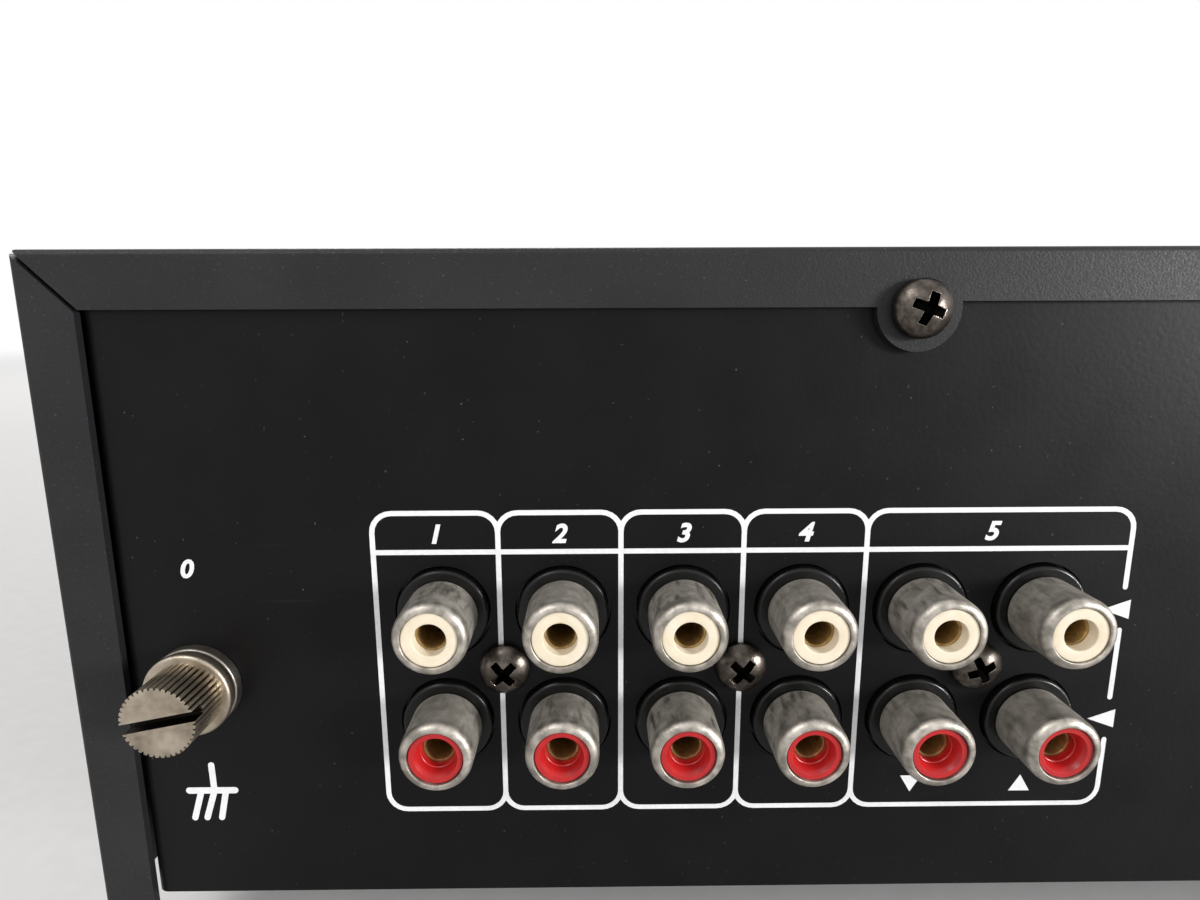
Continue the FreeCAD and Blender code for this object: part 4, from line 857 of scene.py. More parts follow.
flat = add(knurled, "ShaderNodeVectorMath", {0: position}, {1: (1, 1, 0)}, operation="MULTIPLY")
reach = add(knurled, "ShaderNodeVectorMath", {0: flat}, operation="LENGTH").outputs["Value"]
half = add(knurled, "ShaderNodeMath", {0: given["Depth"]}, {1: 0.5}, operation="MULTIPLY")
limit = add(knurled, "ShaderNodeMath", {0: given["Radius"], 1: half}, operation="SUBTRACT")
low = add(knurled, "ShaderNodeMath", {0: reach, 1: limit}, operation="LESS_THAN")
# The valleys' side faces are stored as a mark that a finish paints dark, as painted shade.
valley = add(
    knurled,
    "GeometryNodeStoreNamedAttribute",
    {"Geometry": grown.outputs["Mesh"], "Selection": grown.outputs["Side"], "Value": low},
    {"Name": "painted_hollow_shade"},
    domain="CORNER",
    data_type="FLOAT",
)
both = add(knurled, "GeometryNodeJoinGeometry", {"Geometry": valley})
knurled.links.new(base.outputs[0], both.inputs[0])
welded = add(knurled, "GeometryNodeMergeByDistance", {"Geometry": both}, {"Distance": 1e-6})
finish_tree(knurled, welded, given["Finish"])


def knurled_bar(name, teeth, radius, depth, low, high, finish):
    """A knurled bar round Z between two heights, in millimetres."""
    inputs = {
        "Teeth": teeth,
        "Radius": radius * MM,
        "Depth": depth * MM,
        "Height": (high - low) * MM,
        "Finish": finish,
    }
    blank = bpy.data.meshes.new(name)
    bar = worked(blank, ("NODES", {"node_group": knurled, "inputs": inputs}))
    bar.transform(Matrix.Translation((0, 0, low * MM)))
    return bar


# %% [markdown]
# # The case
# The cover, panels and mouldings keep their CAD shape, with their edges eased. Folded and painted sheet
# has edges about 0.15 mm round, and the thick front was chamfered, then brushed.

# %% Eased copies of CAD pieces
EASED = {
    "top_cover": 0.14,
    "front_panel": 0.2,
    "jack_blocks": 0.05,
    "speaker_block": 0.25,
    "mains_inlet": 0.25,
    "headphone_socket": 0.15,
    "speaker_lever_1": 0.2,
    "speaker_lever_2": 0.2,
    "speaker_lever_3": 0.2,
    "speaker_lever_4": 0.2,
    "power_button": 0.2,
    "tape_button": 0.2,
    "loudness_button": 0.2,
    "power_lamp": 0.05,
}
slot_of = {name: node.data.materials[0].name.split(".")[0] for name, node in frame["nodes"].items()}
body_of = {name: node["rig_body"] for name, node in frame["nodes"].items()}
for node, width in EASED.items():
    slot = slot_of[node]
    made = piece(node + "_finished", eased(node, width), finishes[slot], body_of[node], [node])
    print(made.name, len(made.data.polygons), "faces")

# %% [markdown]
# # Phono sockets
# A socket's shell is a thin barrel, drawn from sheet, whose front edge is rolled inwards. The roll is
# an arc of its own in the outline, so it stays round close up. One shell is turned, and the rows tree
# makes twelve.

# %% Shells
shell_low, shell_high = solids_of("jack_shells")[0]
shell_radius = (shell_high.x - shell_low.x) / 2 / MM
shell_length = (shell_high.y - rear_y) / MM
WALL, ROLL, MOUTH, SEAT, ROOT = 0.45, 0.9, 3.15, 0.9, -4.0
outline = [(shell_radius - WALL, ROOT), (shell_radius - 0.2, ROOT), (shell_radius - 0.2, SEAT)]
outline += [(shell_radius - 0.06, SEAT), (shell_radius, SEAT + 0.08)]
outline += [(shell_radius, SEAT + (shell_length - ROLL - SEAT) * n / 4) for n in range(1, 4)]
outline += arc((shell_radius - ROLL, shell_length - ROLL), ROLL, 0, 90, 10)
outline += arc((MOUTH + 0.1, shell_length - 0.1), 0.1, 90, 180, 3)
outline += [(MOUTH, shell_length - 2 * WALL), (shell_radius - WALL, shell_length - 2 * WALL)]
shell_blank = turned("shell", outline, 72, ring=True)
pitch = jack_pitch / MM
grid = {"step": (pitch, 0, 0), "columns": jack_columns, "row_step": (0, -pitch, 0), "rows": 2}
shells = set_out(shell_blank, shell_nickel, (0, 0, 0), **grid, spread=2 * math.pi, seed=4)
shells.transform(rear_face)
piece("socket_shells", shells, None, replaces=["jack_shells"])
print("shells:", len(shells.polygons), "faces, radius", round(shell_radius, 2), "mm")

# %% [markdown]
# The insulator inside each shell tells left from right: white ones on the upper row have a flat face,
# red ones on the lower row are dished round the bore. Both have small rounded edges, where moulded
# plastic always shows a glint. The contact inside is a split sleeve of bronze.

# %% Insulators and contacts
FACE = shell_length - 0.22
WIDE, NARROW, BORE = shell_radius - WALL - 0.05, 3.11, 1.825
STEP = shell_length - 2 * WALL - 0.05
row = {"step": (pitch, 0, 0), "columns": jack_columns}
back = [(BORE, ROOT), (WIDE, ROOT), (WIDE, STEP), (NARROW, STEP)]
flat = back + arc((NARROW - 0.15, FACE - 0.15), 0.15, 0, 90, 4)
flat += arc((BORE + 0.12, FACE - 0.12), 0.12, 90, 180, 4)
whites = set_out(turned("white_insert", flat, 56, True), finishes["white_insulator"], (0, 0, 0), **row)
whites.transform(rear_face)
piece("white_inserts", whites, None, replaces=["left_inserts"])

dished = back + arc((NARROW - 0.3, FACE - 0.3), 0.3, 0, 60, 4)
dished += arc((2.63, FACE - 0.62), 0.55, 78, 110, 3)
dished += [(2.2, FACE - 0.45), (2.0, FACE - 0.85)] + arc((BORE + 0.2, FACE - 1.5), 0.2, 110, 180, 4)
reds = set_out(turned("red_insert", dished, 56, True), finishes["red_insulator"], (0, -pitch, 0), **row)
reds.transform(rear_face)
piece("red_inserts", reds, None, replaces=["right_inserts"])

contact_low = (solids_of("jack_contacts")[0][0].y - rear_y) / MM
OUTER, INNER, TAIL = 1.77, 1.5, 0.6
sleeves = []
for up, mouth in ((0, FACE - 1.4), (-pitch, FACE - 2.2)):
    sleeve = [(0, contact_low), (TAIL, contact_low), (TAIL, ROOT), (OUTER, ROOT), (OUTER, mouth)]
    sleeve += [(INNER + 0.1, mouth), (INNER, mouth - 0.15), (INNER, ROOT + 1), (0, ROOT + 1)]
    sleeves.append(set_out(turned("contact", sleeve, 40), finishes["brass_contact"], (0, up, 0), **row))
contacts = joined("contacts", sleeves)
contacts.transform(rear_face)
piece("socket_contacts", contacts, finishes["brass_contact"], replaces=["jack_contacts"])

# %% [markdown]
# # Screws
# A pan head is a shallow dome with a short upright rim. Its cross recess tapers inwards, so three tapered
# wedges are cut out of the turned head with Boolean modifiers. A narrow bevel afterwards gives the
# recess the edge that a screwdriver rubs bright: its faces are marked, and the finish makes them paler.
# The faces inside the recess are marked too, and the finish paints them nearly black as painted shade.
# Each screw stands at its own angle.

# %% Pan-head screws
def wedge(half_length, half_width, top, depth, angle):
    """A slab that tapers downwards, one of those that make up a screwdriver's tip."""
    shape = bmesh.new()
    turn = Matrix.Rotation(math.radians(angle), 3, "Z")
    rings = []
    for share, z in ((1.1, top + 0.6), (1.0, top), (0.35, top - depth)):
        corners = [(1, -1), (1, 1), (-1, 1), (-1, -1)]
        flat = [(x * half_length * share, y * half_width * (share + 1) / 2, z) for x, y in corners]
        rings.append([shape.verts.new(turn @ Vector(point) * MM) for point in flat])
    for high, low in zip(rings, rings[1:]):
        for n in range(4):
            shape.faces.new((high[n], high[(n + 1) % 4], low[(n + 1) % 4], low[n]))
    shape.faces.new(rings[0])
    shape.faces.new(rings[-1])
    tool = bpy.data.objects.new("wedge", kept(shape, "wedge"))
    bpy.context.scene.collection.objects.link(tool)
    return tool


def pan_head(name, head, height, shank, length, cross):
    """A screw with its zero under the head, in millimetres: diameters, then lengths."""
    radius, rim = head / 2, height * 0.35
    dome = (radius**2 + (height - rim) ** 2) / (2 * (height - rim))
    widest = math.degrees(math.asin((radius - 0.25) / dome))
    outline = [(0, -length), (shank / 2 - 0.3, -length), (shank / 2, 0.3 - length), (shank / 2, 0)]
    outline += [(radius - 0.1, 0), (radius, 0.1), (radius, rim - 0.1)]
    outline += arc((0, height - dome), dome, 90 - widest, 90, 9)[:-1] + [(0, height)]
    arm = cross * 0.13
    slabs = ((cross / 2, arm, 0), (cross / 2, arm, 90), (arm * 1.5, arm * 1.5, 45))
    tools = [wedge(long, wide, height, height * 0.8, angle) for long, wide, angle in slabs]
    cuts = [("BOOLEAN", {"object": tool, "operation": "DIFFERENCE", "solver": "EXACT"}) for tool in tools]
    edge = {"width": 0.08 * MM, "segments": 2, "limit_method": "ANGLE", "angle_limit": SHARP, "material": 1}
    blank = turned(name, outline, 48)
    blank.materials.append(finishes["black_screw"])
    blank.materials.append(finishes["black_screw"])
    result = worked(blank, *cuts, ("BEVEL", edge), ("WELD", {"merge_threshold": 0.002 * MM}))
    for tool in tools:
        bpy.data.objects.remove(tool)

    def in_recess(face):
        x, y, z = face.center / MM
        over = dome**2 - x * x - y * y
        return z > 0.1 and z < height - dome + math.sqrt(over) - 0.1 and math.hypot(x, y) < cross / 2

    # The recess faces are marked for painted shade, the bevel faces round its rim for wear.
    mark_faces(result, "painted_hollow_shade", in_recess)
    mark_faces(result, "rubbed", lambda face: face.material_index == 1 and not in_recess(face))
    for face in result.polygons:
        face.material_index = 0
    return result


black = finishes["black_screw"]
cover_blank = pan_head("cover_screw", 6.4, 2.4, 3.5, 8.0, 4.2)
cover_parts = []
for low, high in solids_of("cover_screws"):
    middle = (low + high) / 2
    size = high - low
    axis = max(range(3), key=lambda k: size[k])
    out = Vector([0, 0, 0])
    out[axis] = 1 if middle[axis] > 0 else -1
    seat = middle.copy()
    seat[axis] = (high if middle[axis] > 0 else low)[axis] - out[axis] * 2.4 * MM
    made = set_out(cover_blank, black, (0, 0, 0), spread=1.5, seed=20 + len(cover_parts))
    made.transform(facing(out, seat))
    cover_parts.append(made)
cover_mesh = joined("cover_screws", cover_parts)
piece("cover_pan_screws", cover_mesh, black, replaces=["cover_screws"])

terminal_blank = pan_head("terminal_screw", 6.0, 2.0, 3.0, 9.0, 4.0)
heads = sorted(solids_of("terminal_screws"), key=lambda corners: -corners[1].x)
terminal_parts = []
for number, (low, high) in enumerate(heads):
    seat = (low + high) / 2
    seat.y = high.y - 2.0 * MM
    made = set_out(terminal_blank, black, (0, 0, 0), spread=1.5, seed=31 + number)
    made.transform(facing((0, 1, 0), seat))
    terminal_parts.append(made)
terminal_mesh = joined("terminal_screws", terminal_parts)
piece("terminal_pan_screws", terminal_mesh, black, replaces=["terminal_screws"])
print("screws:", len(cover_parts), "on the cover,", len(terminal_parts), "on the rear panel")

# %% [markdown]
# # Ground terminal
# A riveted collar, a loose washer and a knurled thumbscrew with a slot for a coin. The knurl comes from
# its tree, the slot from a Boolean, and a bevel softens what fingers rub. The knurl's valleys and the
# slot are painted dark as shade. The washer rides up and down with the thread, and the thumbscrew also turns.

# %% Collar, washer and thumbscrew
ground_low, ground_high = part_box("ground_screw")
collar_high = (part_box("ground_collar")[1].y - rear_y) / MM
washer_low, washer_high = [(corner.y - rear_y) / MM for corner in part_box("ground_washer")]
ground_middle = (ground_low + ground_high) / 2
ground_face = facing((0, 1, 0), (ground_middle.x, rear_y, ground_middle.z))
RING, BORE, THREAD = 5.1, 2.03, 1.95
head_radius = (ground_high.x - ground_low.x) / 2 / MM
head_top = (ground_high.y - rear_y) / MM

collar = [(BORE, -5.0), (3.4, -5.0), (3.4, 0.0), (RING - 0.1, 0.0), (RING, 0.1)]
collar += arc((RING - 0.25, collar_high - 0.25), 0.25, 0, 90, 4) + [(BORE, collar_high)]
collar_mesh = turned("collar", collar, 72, ring=True)
collar_mesh.transform(ground_face)
piece("ground_riveted_collar", collar_mesh, finishes["nickel_plate"], replaces=["ground_collar"])

washer = [(BORE, washer_low), (RING - 0.2, washer_low)]
washer += arc((RING - 0.2, washer_low + 0.2), 0.2, -90, 0, 3)
washer += arc((RING - 0.4, washer_high - 0.4), 0.4, 0, 90, 5) + [(BORE, washer_high)]
washer_mesh = turned("washer", washer, 72, ring=True)
washer_mesh.transform(ground_face)
piece(
    "ground_loose_washer",
    washer_mesh,
    finishes["ground_nickel"],
    "ground_washer",
    ["ground_washer"],
)

SLOT_WIDTH, SLOT_DEPTH, SLOT_TURN = 1.15, 1.6, 11.0
head = knurled_bar("thumbscrew", 40, head_radius, 0.28, washer_high, head_top, finishes["ground_nickel"])
slot_shape = bmesh.new()
bmesh.ops.create_cube(slot_shape, size=1.0)
slot_size = Matrix.Diagonal((3 * head_radius * MM, SLOT_WIDTH * MM, 2 * SLOT_DEPTH * MM, 1))
slot_place = Matrix.Translation((0, 0, head_top * MM)) @ Matrix.Rotation(math.radians(SLOT_TURN), 4, "Z")
slot_tool = bpy.data.objects.new("slot_tool", kept(slot_shape, "slot_tool", slot_place @ slot_size))
bpy.context.scene.collection.objects.link(slot_tool)
edge = {"width": 0.09 * MM, "segments": 2, "limit_method": "ANGLE", "angle_limit": math.radians(60)}
cut = ("BOOLEAN", {"object": slot_tool, "operation": "DIFFERENCE", "solver": "EXACT"})
head = worked(head, cut, ("BEVEL", edge))
bpy.data.objects.remove(slot_tool)
across_slot = Vector((-math.sin(math.radians(SLOT_TURN)), math.cos(math.radians(SLOT_TURN)), 0))


def in_slot(face):
    """Whether a face is a wall or the floor of the coin slot."""
    height = face.center.z / MM
    near = abs(face.center.dot(across_slot)) / MM < SLOT_WIDTH / 2 + 0.01
    return near and head_top - SLOT_DEPTH - 0.05 < height < head_top - 0.15


# The slot's walls and floor get the same mark, painted dark as shade.
mark_faces(head, "painted_hollow_shade", in_slot)
thread_low = (ground_low.y - rear_y) / MM
thread = [(0, thread_low), (THREAD - 0.3, thread_low), (THREAD, thread_low + 0.3)]
thread += [(THREAD, washer_high + 0.5), (0, washer_high + 0.5)]
thumbscrew = joined("thumbscrew", [head, turned("thread", thread, 40)])
thumbscrew.transform(ground_face)
piece(
    "ground_thumbscrew", thumbscrew, finishes["ground_nickel"], "ground_screw", ["ground_screw"]
)
print("thumbscrew:", len(thumbscrew.polygons), "faces")

# %% [markdown]
# # Printed marks
# The white marks are silk-screened ink, a film about 0.03 mm thick. They could be painted with a mask in
# the panel's material, but a film with real edges stays crisp at any distance. A printed stroke is a
# flat ribbon along a path, with round ends where it stops, and everything flat is raised at the end
# in one step.

# %% Tools for ink
one_film, given = new_tree("one_film", {"Strokes": "Geometry", "Finish": "Material"})
united = add(one_film, "GeometryNodeMeshBoolean", operation="UNION", solver="EXACT")
socket(united.inputs, "Self Intersection").default_value = True
one_film.links.new(given["Strokes"], united.inputs["Mesh 2"])
finish_tree(one_film, united, given["Finish"])

INK_HEIGHT = 0.03
STROKE = 0.6


def ribbon(shape, points, width=STROKE, closed=False):
    """A printed stroke of that width along a path, with round ends if it is open."""
    path = [Vector(point) for point in points]
    last = len(path) - 1
    rows = []
    for n, point in enumerate(path):
        before = path[n - 1] if closed or n else None
        after = path[(n + 1) % len(path)] if closed or n < last else None
        runs = [(point - before).normalized()] if before is not None else []
        runs += [(after - point).normalized()] if after is not None else []
        along = sum(runs, Vector((0, 0))).normalized()
        side = Vector((-along.y, along.x)) * (width / 2) / max(along.dot(runs[0]), 0.6)
        rows.append([shape.verts.new((*((point + sign * side) * MM), 0)) for sign in (1, -1)])
    pairs = list(zip(rows, rows[1:])) + ([(rows[-1], rows[0])] if closed else [])
    for (left, right), (next_left, next_right) in pairs:
        shape.faces.new((left, right, next_right, next_left))
    if closed:
        return
    for here, towards, (left, right) in ((path[0], path[1], rows[0]), (path[-1], path[-2], rows[-1])):
        start = math.atan2(left.co.y / MM - here.y, left.co.x / MM - here.x)
        outward = (here - towards).normalized()
        sense = 1 if Vector((-math.sin(start), math.cos(start))).dot(outward) > 0 else -1
        turns = [start + sense * math.pi * n / 6 for n in range(1, 6)]
        rim = [here + Vector((math.cos(a), math.sin(a))) * width / 2 for a in turns]
        shape.faces.new([left] + [shape.verts.new((*(p * MM), 0)) for p in rim] + [right])


def mark(shape, points):
    """A filled flat shape."""
    shape.faces.new([shape.verts.new((point[0] * MM, point[1] * MM, 0)) for point in points])


def figure(shape, text, middle, height, slant=0.0):
    """A printed number of that height, centred on a point."""
    curve = bpy.data.curves.new("figure", "FONT")
    curve.body = text
    curve.size = height / 0.7 * MM
    curve.align_x = "CENTER"
    curve.align_y = "CENTER"
    curve.shear = slant
    curve.offset = 0.05 * height * MM
    curve.resolution_u = 4
    holder = bpy.data.objects.new("figure", curve)
    bpy.context.scene.collection.objects.link(holder)
    graph = bpy.context.evaluated_depsgraph_get()
    mesh = bpy.data.meshes.new_from_object(holder.evaluated_get(graph))
    bpy.data.objects.remove(holder)
    mesh.transform(Matrix.Translation((middle[0] * MM, middle[1] * MM, 0)))
    shape.from_mesh(mesh)


def raise_flat(shape, height):
    """Give flat shapes a thickness."""
    bmesh.ops.dissolve_degenerate(shape, dist=2e-6, edges=shape.edges)
    raised = bmesh.ops.extrude_face_region(shape, geom=shape.faces[:], use_keep_orig=True)["geom"]
    lifted = [item for item in raised if isinstance(item, bmesh.types.BMVert)]
    bmesh.ops.translate(shape, verts=lifted, vec=(0, 0, height * MM))


def printed(name, shape, face, crossing=True):
    """Raise everything flat to the thickness of ink and lay it on a face. Strokes that cross become one film."""
    raise_flat(shape, INK_HEIGHT)
    mesh = kept(shape, name)
    if crossing:
        mesh = worked(mesh, ("NODES", {"node_group": one_film, "inputs": {"Finish": ink_white}}))
    mesh.transform(face)
    return piece(name, mesh, ink_white)


def rounded_corner(corner, radius, start):
    """Points round the inside of a corner, from a start angle over a quarter turn clockwise."""
    return arc(corner, radius, start, start - 90, 6)


# %% [markdown]
# Each pair of sockets stands in its own rounded box, with a number above a line, and the last box holds two
# pairs. Neighbouring boxes share an upright, so their rounded corners meet in a small fork. The last
# box's outer side breaks where its marks stand. Small triangles point at the rows and say in and out.

# %% Marks on the rear panel
UPRIGHTS = (-7.77, 6.62, 20.77, 34.97, 49.22, 80.0)
TOP, HEADER, BOTTOM, CORNER = 11.96, 7.31, -25.88, 2.3
BREAKS = (2.48, -2.92, -11.59, -17.19)
rear_ink = bmesh.new()
for left, right in zip(UPRIGHTS, UPRIGHTS[1:-1]):
    corners = rounded_corner((left + CORNER, TOP - CORNER), CORNER, 180)
    corners += rounded_corner((right - CORNER, TOP - CORNER), CORNER, 90)
    corners += rounded_corner((right - CORNER, BOTTOM + CORNER), CORNER, 0)
    corners += rounded_corner((left + CORNER, BOTTOM + CORNER), CORNER, -90)
    ribbon(rear_ink, corners, closed=True)
left, right = UPRIGHTS[-2:]
path = [(right, BREAKS[3])] + rounded_corner((right - CORNER, BOTTOM + CORNER), CORNER, 0)
path += rounded_corner((left + CORNER, BOTTOM + CORNER), CORNER, -90)
path += rounded_corner((left + CORNER, TOP - CORNER), CORNER, 180)
path += rounded_corner((right - CORNER, TOP - CORNER), CORNER, 90) + [(right, BREAKS[0])]
ribbon(rear_ink, path)
ribbon(rear_ink, [(right, BREAKS[1]), (right, BREAKS[2])])
ribbon(rear_ink, [(UPRIGHTS[0], HEADER), (UPRIGHTS[-1], HEADER)])

FIGURES = {"1": (-0.7, 9.35), "2": (13.65, 9.35), "3": (27.9, 9.35), "4": (41.95, 9.35), "5": (63.55, 9.35)}
for text, middle in FIGURES.items():
    figure(rear_ink, text, middle, 2.15, 0.25)
figure(rear_ink, "0", (-29.5, 5.4), 2.1, 0.25)
for up in (-0.3, -14.4):
    mark(rear_ink, [(77.6, up), (80.9, up - 1.2), (80.9, up + 1.2)])
mark(rear_ink, [(55.3, -21.9), (57.9, -21.9), (56.6, -24.1)])
mark(rear_ink, [(68.9, -24.1), (71.5, -24.1), (70.2, -21.9)])

ribbon(rear_ink, [(-29.15, -19.6), (-29.1, -23.05)], 0.75)
ribbon(rear_ink, [(-32.15, -23.05), (-26.6, -23.05)], 0.85)
for top_right, low_right in ((-30.7, -31.85), (-29.1, -30.35), (-27.7, -28.55)):
    ribbon(rear_ink, [(top_right, -23.1), (low_right, -26.8)], 0.75)

# %% [markdown]
# The speaker terminals and the inlet have their own plain marks: a number above each pair of levers, a
# ring and a dot for the two poles, and a wave for alternating current.

# %% Marks by the speaker terminals and the inlet
block_low, block_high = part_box("speaker_block")
to_rear = rear_face.inverted()
levers = [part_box("speaker_lever_" + str(n)) for n in (1, 2, 3, 4)]
lever_right = [(to_rear @ ((low + high) / 2)).x / MM for low, high in levers]
block_top = (to_rear @ block_high).y / MM
block_base = (to_rear @ block_low).y / MM
for text, pair in (("1", lever_right[:2]), ("2", lever_right[2:])):
    figure(rear_ink, text, (sum(pair) / 2, block_top + 4.0), 2.6, 0.25)
    ribbon(rear_ink, [(pair[0] - 6, block_top + 2.0), (pair[0] - 6, block_top + 4), (pair[0] + 6, block_top + 4)])
    ribbon(rear_ink, [(pair[1] - 6, block_top + 4), (pair[1] + 6, block_top + 4), (pair[1] + 6, block_top + 2.0)])
for number, right in enumerate(lever_right):
    ribbon(rear_ink, [(right - 1.3, block_base - 3), (right + 1.3, block_base - 3)], 0.5)
    if number % 2 == 0:
        ribbon(rear_ink, [(right, block_base - 4.3), (right, block_base - 1.7)], 0.5)
inlet_low, inlet_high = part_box("mains_inlet")
inlet = to_rear @ ((inlet_low + inlet_high) / 2) / MM
wave = [(inlet.x - 3 + 0.25 * n, inlet.y + 17 + 1.1 * math.sin(math.pi * n / 12)) for n in range(25)]
ribbon(rear_ink, wave, 0.5)
rear_print = printed("rear_marks", rear_ink, rear_face)
print("rear marks:", len(rear_print.data.polygons), "faces")

# %% [markdown]
# # Knobs
# Knobs of this kind are turned from aluminium bar: fine straight knurling for the grip, a chamfer, and a
# face that is faced off in a lathe, which leaves hair-fine rings. The rings are drawn in the material from
# the distance to the axis. Each knob has a white line let into its face, and all of it rides on the
# knob's own body.

# %% Finish and shape of the knobs
def ringed(name, axis):
    """Black anodised aluminium with rings round an axis that runs along Y."""
    material, tree, shader, place = new_finish(name, Metallic=0.85)
    centred = add(
        tree, "ShaderNodeVectorMath", {0: place}, {1: (axis.x, 0, axis.z)}, operation="SUBTRACT"
    )
    flat = add(tree, "ShaderNodeVectorMath", {0: centred}, {1: (1, 0, 1)}, operation="MULTIPLY")
    radius = add(tree, "ShaderNodeVectorMath", {0: flat}, operation="LENGTH").outputs["Value"]
    stacked = add(tree, "ShaderNodeCombineXYZ", {"X": radius})
    rings = add(
        tree, "ShaderNodeTexNoise", {"Vector": stacked}, {"Scale": per(0.3), "Detail": 2.0}
    )
    tone = add(
        tree,
        "ShaderNodeMix",
        {"Factor": rings},
        {"A": linear("#161617"), "B": linear("#2a2a2d")},
        data_type="RGBA",
    )
    rough = add(tree, "ShaderNodeMapRange", {"Value": rings}, {"To Min": 0.26, "To Max": 0.42})
    give(tree, shader, Base_Color=tone, Roughness=rough)
    relief(tree, shader, rings, 0.02, 0.5)
    return material


def knob(name, pointer_angle, teeth):
    """A knurled knob in the place of the CAD one, with its pointer at an angle from the top."""
    low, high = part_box(name + "_knob")
    axis = (low + high) / 2
    radius, length = (high.x - low.x) / 2 / MM, (high.y - low.y) / MM
    face = facing((0, -1, 0), (axis.x, high.y, axis.z))
    bore, hub, skirt, hollow = 3.05, 5.5, radius - 2, 6.0
    grip = (hollow + 0.5, length - 2.2)
    band = radius - 0.35
    outline = [(bore, 0.3), (bore + 0.3, 0), (hub, 0), (hub, hollow), (skirt, hollow), (skirt, 0.3)]
    outline += [(skirt + 0.3, 0), (radius - 0.4, 0)] + arc((radius - 0.4, 0.4), 0.4, -90, 0, 3)
    outline += [(radius, grip[0] - 0.6), (band, grip[0]), (band, grip[1]), (radius - 0.15, grip[1] + 0.5)]
    outline += [(radius - 0.15, length - 1.0), (radius - 1.0, length - 0.15)]
    outline += arc((radius - 1.3, length - 0.3), 0.3, 45, 90, 2)
    outline += [(radius * share, length - 0.5 * (1 - share**2) / 0.4) for share in (0.85, 0.8)]
    outline += [(radius * share, length - 0.6 - 0.4 * (0.75 - share)) for share in (0.75, 0.4, 0.2)]
    outline += [(0, length - 0.95), (0, length - 3.2), (bore, length - 3.2)]
    if hub > skirt:
        outline = [p for p in outline if p not in ((hub, hollow), (skirt, hollow))]
    body = turned(name, outline, 96, ring=True)
    finish = ringed(name + "_turned_aluminium", axis)
    bar = knurled_bar(name, teeth, radius - 0.02, 0.3, grip[0], grip[1], finish)
    mesh = joined(name, [body, bar])
    mesh.transform(face)
    piece(name + "_knurled_knob", mesh, finish, name, [name + "_knob"])
    line = bmesh.new()
    turn = Matrix.Rotation(-math.radians(pointer_angle), 2)
    ribbon(line, [turn @ Vector((0, radius * share)) for share in (0.5, 0.92)], 1.2)
    mesh_face = face @ Matrix.Translation((0, 0, (length - 0.62) * MM))
    raise_flat(line, 0.62)
    piece(name + "_pointer", kept(line, name + "_pointer", mesh_face), ink_white, name)
    return axis, radius


# %% Five knobs
KNOBS = {"volume": (-150, 120), "selector": (0, 84), "bass": (0, 60), "treble": (0, 60), "balance": (0, 60)}
knobs = {name: knob(name, angle, teeth) for name, (angle, teeth) in KNOBS.items()}
print("knobs:", {name: round(radius, 1) for name, (axis, radius) in knobs.items()})

# %% [markdown]
# The dials are printed on the front. Their ticks come from the ring tree, and the numbers are placed one by
# one, because each stands upright wherever it is on the circle. Volume runs from 0 to 10 over three
# hundred degrees, the selector has five places, and the tone knobs have a mark at the middle.

# %% Marks on the front
front_face = facing((0, -1, 0), (0, front_y, 0))
to_front = front_face.inverted()
front_ink = bmesh.new()


def dial(name, first, step, count, gap, tick, numbers=()):
    """Ticks round a knob, and the numbers outside them, in degrees from the top."""
    axis, radius = knobs[name]
    middle = to_front @ axis / MM
    blank = bmesh.new()
    corners = [(-0.2, 0), (0.2, 0), (0.2, tick), (-0.2, tick)]
    mark(blank, corners)
    inputs = {
        "Count": count,
        "Radius": (radius + gap) * MM,
        "Start": math.radians(first),
        "Step": math.radians(step),
        "Finish": ink_white,
    }
    flat = bpy.data.meshes.new("tick")
    blank.to_mesh(flat)
    blank.free()
    ticks = worked(flat, ("NODES", {"node_group": in_a_ring, "inputs": inputs}))
    ticks.transform(Matrix.Translation((middle.x * MM, middle.y * MM, 0)))
    front_ink.from_mesh(ticks)
    for n, text in enumerate(numbers):
        angle = math.radians(first + step * n)
        out = radius + gap + tick + 2.4
        figure(front_ink, text, (middle.x + out * math.sin(angle), middle.y + out * math.cos(angle)), 2.2)


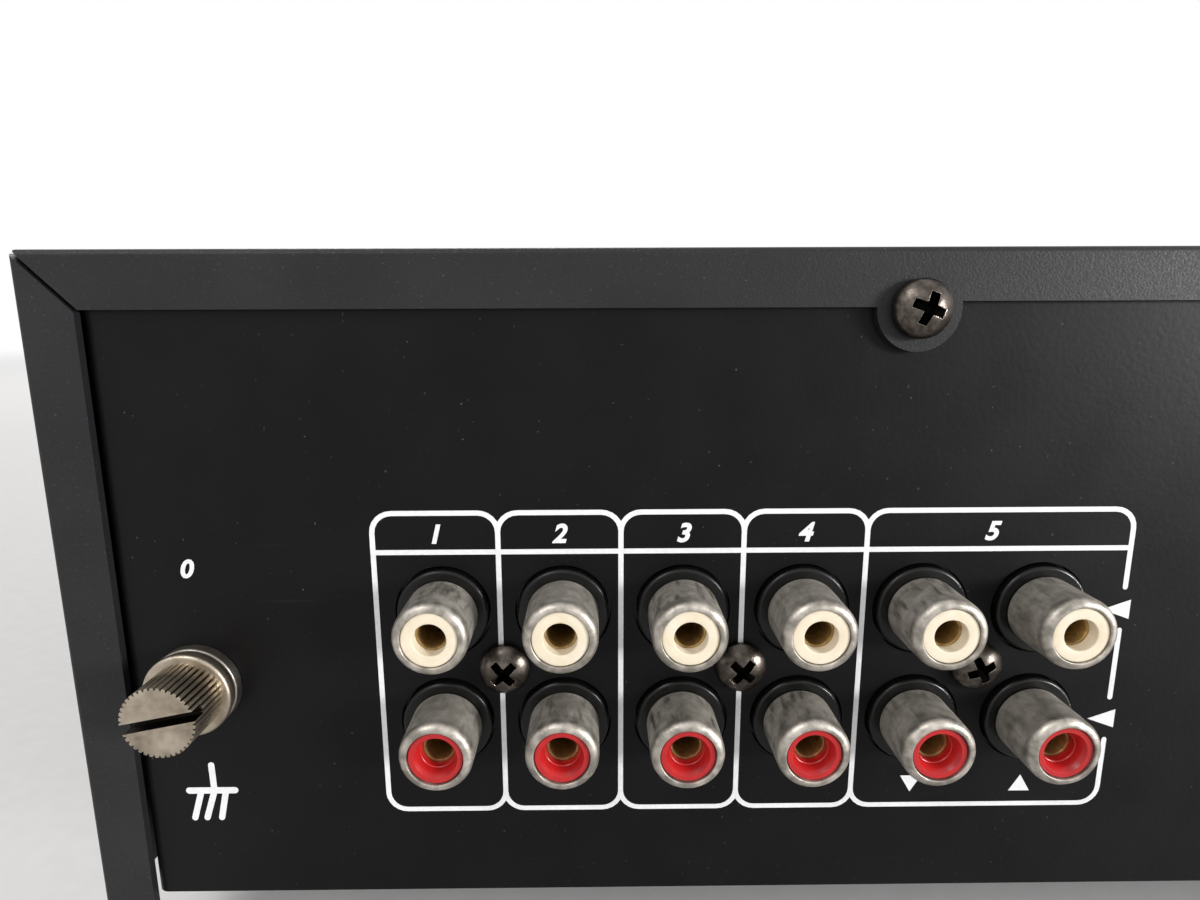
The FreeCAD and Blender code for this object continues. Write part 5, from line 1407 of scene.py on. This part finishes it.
dial("volume", -150, 30, 11, 2.2, 2.0, [str(n) for n in range(11)])
dial("selector", -60, 30, 5, 2.2, 2.0, [str(n + 1) for n in range(5)])
for name in ("bass", "treble", "balance"):
    dial(name, -150, 30, 11, 1.6, 1.3)
    axis, radius = knobs[name]
    middle = to_front @ axis / MM
    mark(front_ink, arc((middle.x, middle.y + radius + 4.6), 0.55, 0, 330, 11))
for node in ("tape_button", "loudness_button", "power_button"):
    low, high = [to_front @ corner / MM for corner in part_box(node)]
    ribbon(front_ink, [(low.x + 1, low.y - 2.5), (high.x - 1, low.y - 2.5)], 0.4)
front_print = printed("front_marks", front_ink, front_face, crossing=False)
print("front marks:", len(front_print.data.polygons), "faces")

# %% [markdown]
# # Feet
# Each foot is moulded rubber: a tapered drum with two grooves, a rounded tread and a deep recess for its
# screw. One is turned, and the rows tree sets out four.

# %% Feet
feet_boxes = solids_of("feet")
foot_height = feet_boxes[0][1].z / MM
foot_radius = (feet_boxes[0][1].x - feet_boxes[0][0].x) / 2 / MM
centres = sorted((round((low.x + high.x) / 2 / MM, 3), round((low.y + high.y) / 2 / MM, 3)) for low, high in feet_boxes)
tread, recess, depth, hole = foot_radius - 2.0, 6.0, 9.0, 2.25
outline = [(recess, 0.3), (recess + 0.3, 0), (tread - 1.2, 0)]
outline += arc((tread - 1.2, 1.2), 1.2, -90, -8, 5)
for groove in (4.2, 8.4):
    at = tread + 2.0 * groove / foot_height
    outline += [(at - 0.15, groove - 0.7), (at - 0.55, groove - 0.4), (at - 0.55, groove + 0.4), (at - 0.1, groove + 0.7)]
outline += [(foot_radius - 0.3, foot_height - 0.8), (foot_radius - 0.6, foot_height)]
outline += [(hole, foot_height), (hole, depth), (recess, depth)]
(first_x, first_y), (second_x, second_y) = centres[0], centres[-1]
feet = set_out(
    turned("foot", outline, 72, ring=True),
    finishes["foot_rubber"],
    (first_x, first_y, 0),
    (second_x - first_x, 0, 0),
    2,
    (0, second_y - first_y, 0),
    2,
)
piece("rubber_feet", feet, None, replaces=["feet"])
print("feet at", centres)

# %% [markdown]
# # Everything else
# The remaining pieces keep their CAD mesh and get their finish. Most are seen only through the vents
# and the terminals, but they are real parts of the object and their finishes are as true as the rest.

# %% Finishes of the CAD pieces
stood_for = {name for made in bpy.data.objects for name in made.get("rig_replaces", [])}
for name, node in frame["nodes"].items():
    if name not in stood_for:
        node.material_slots[0].material = finishes[slot_of[name]]
print("pieces made here stand for", len(stood_for), "of", len(frame["nodes"]))
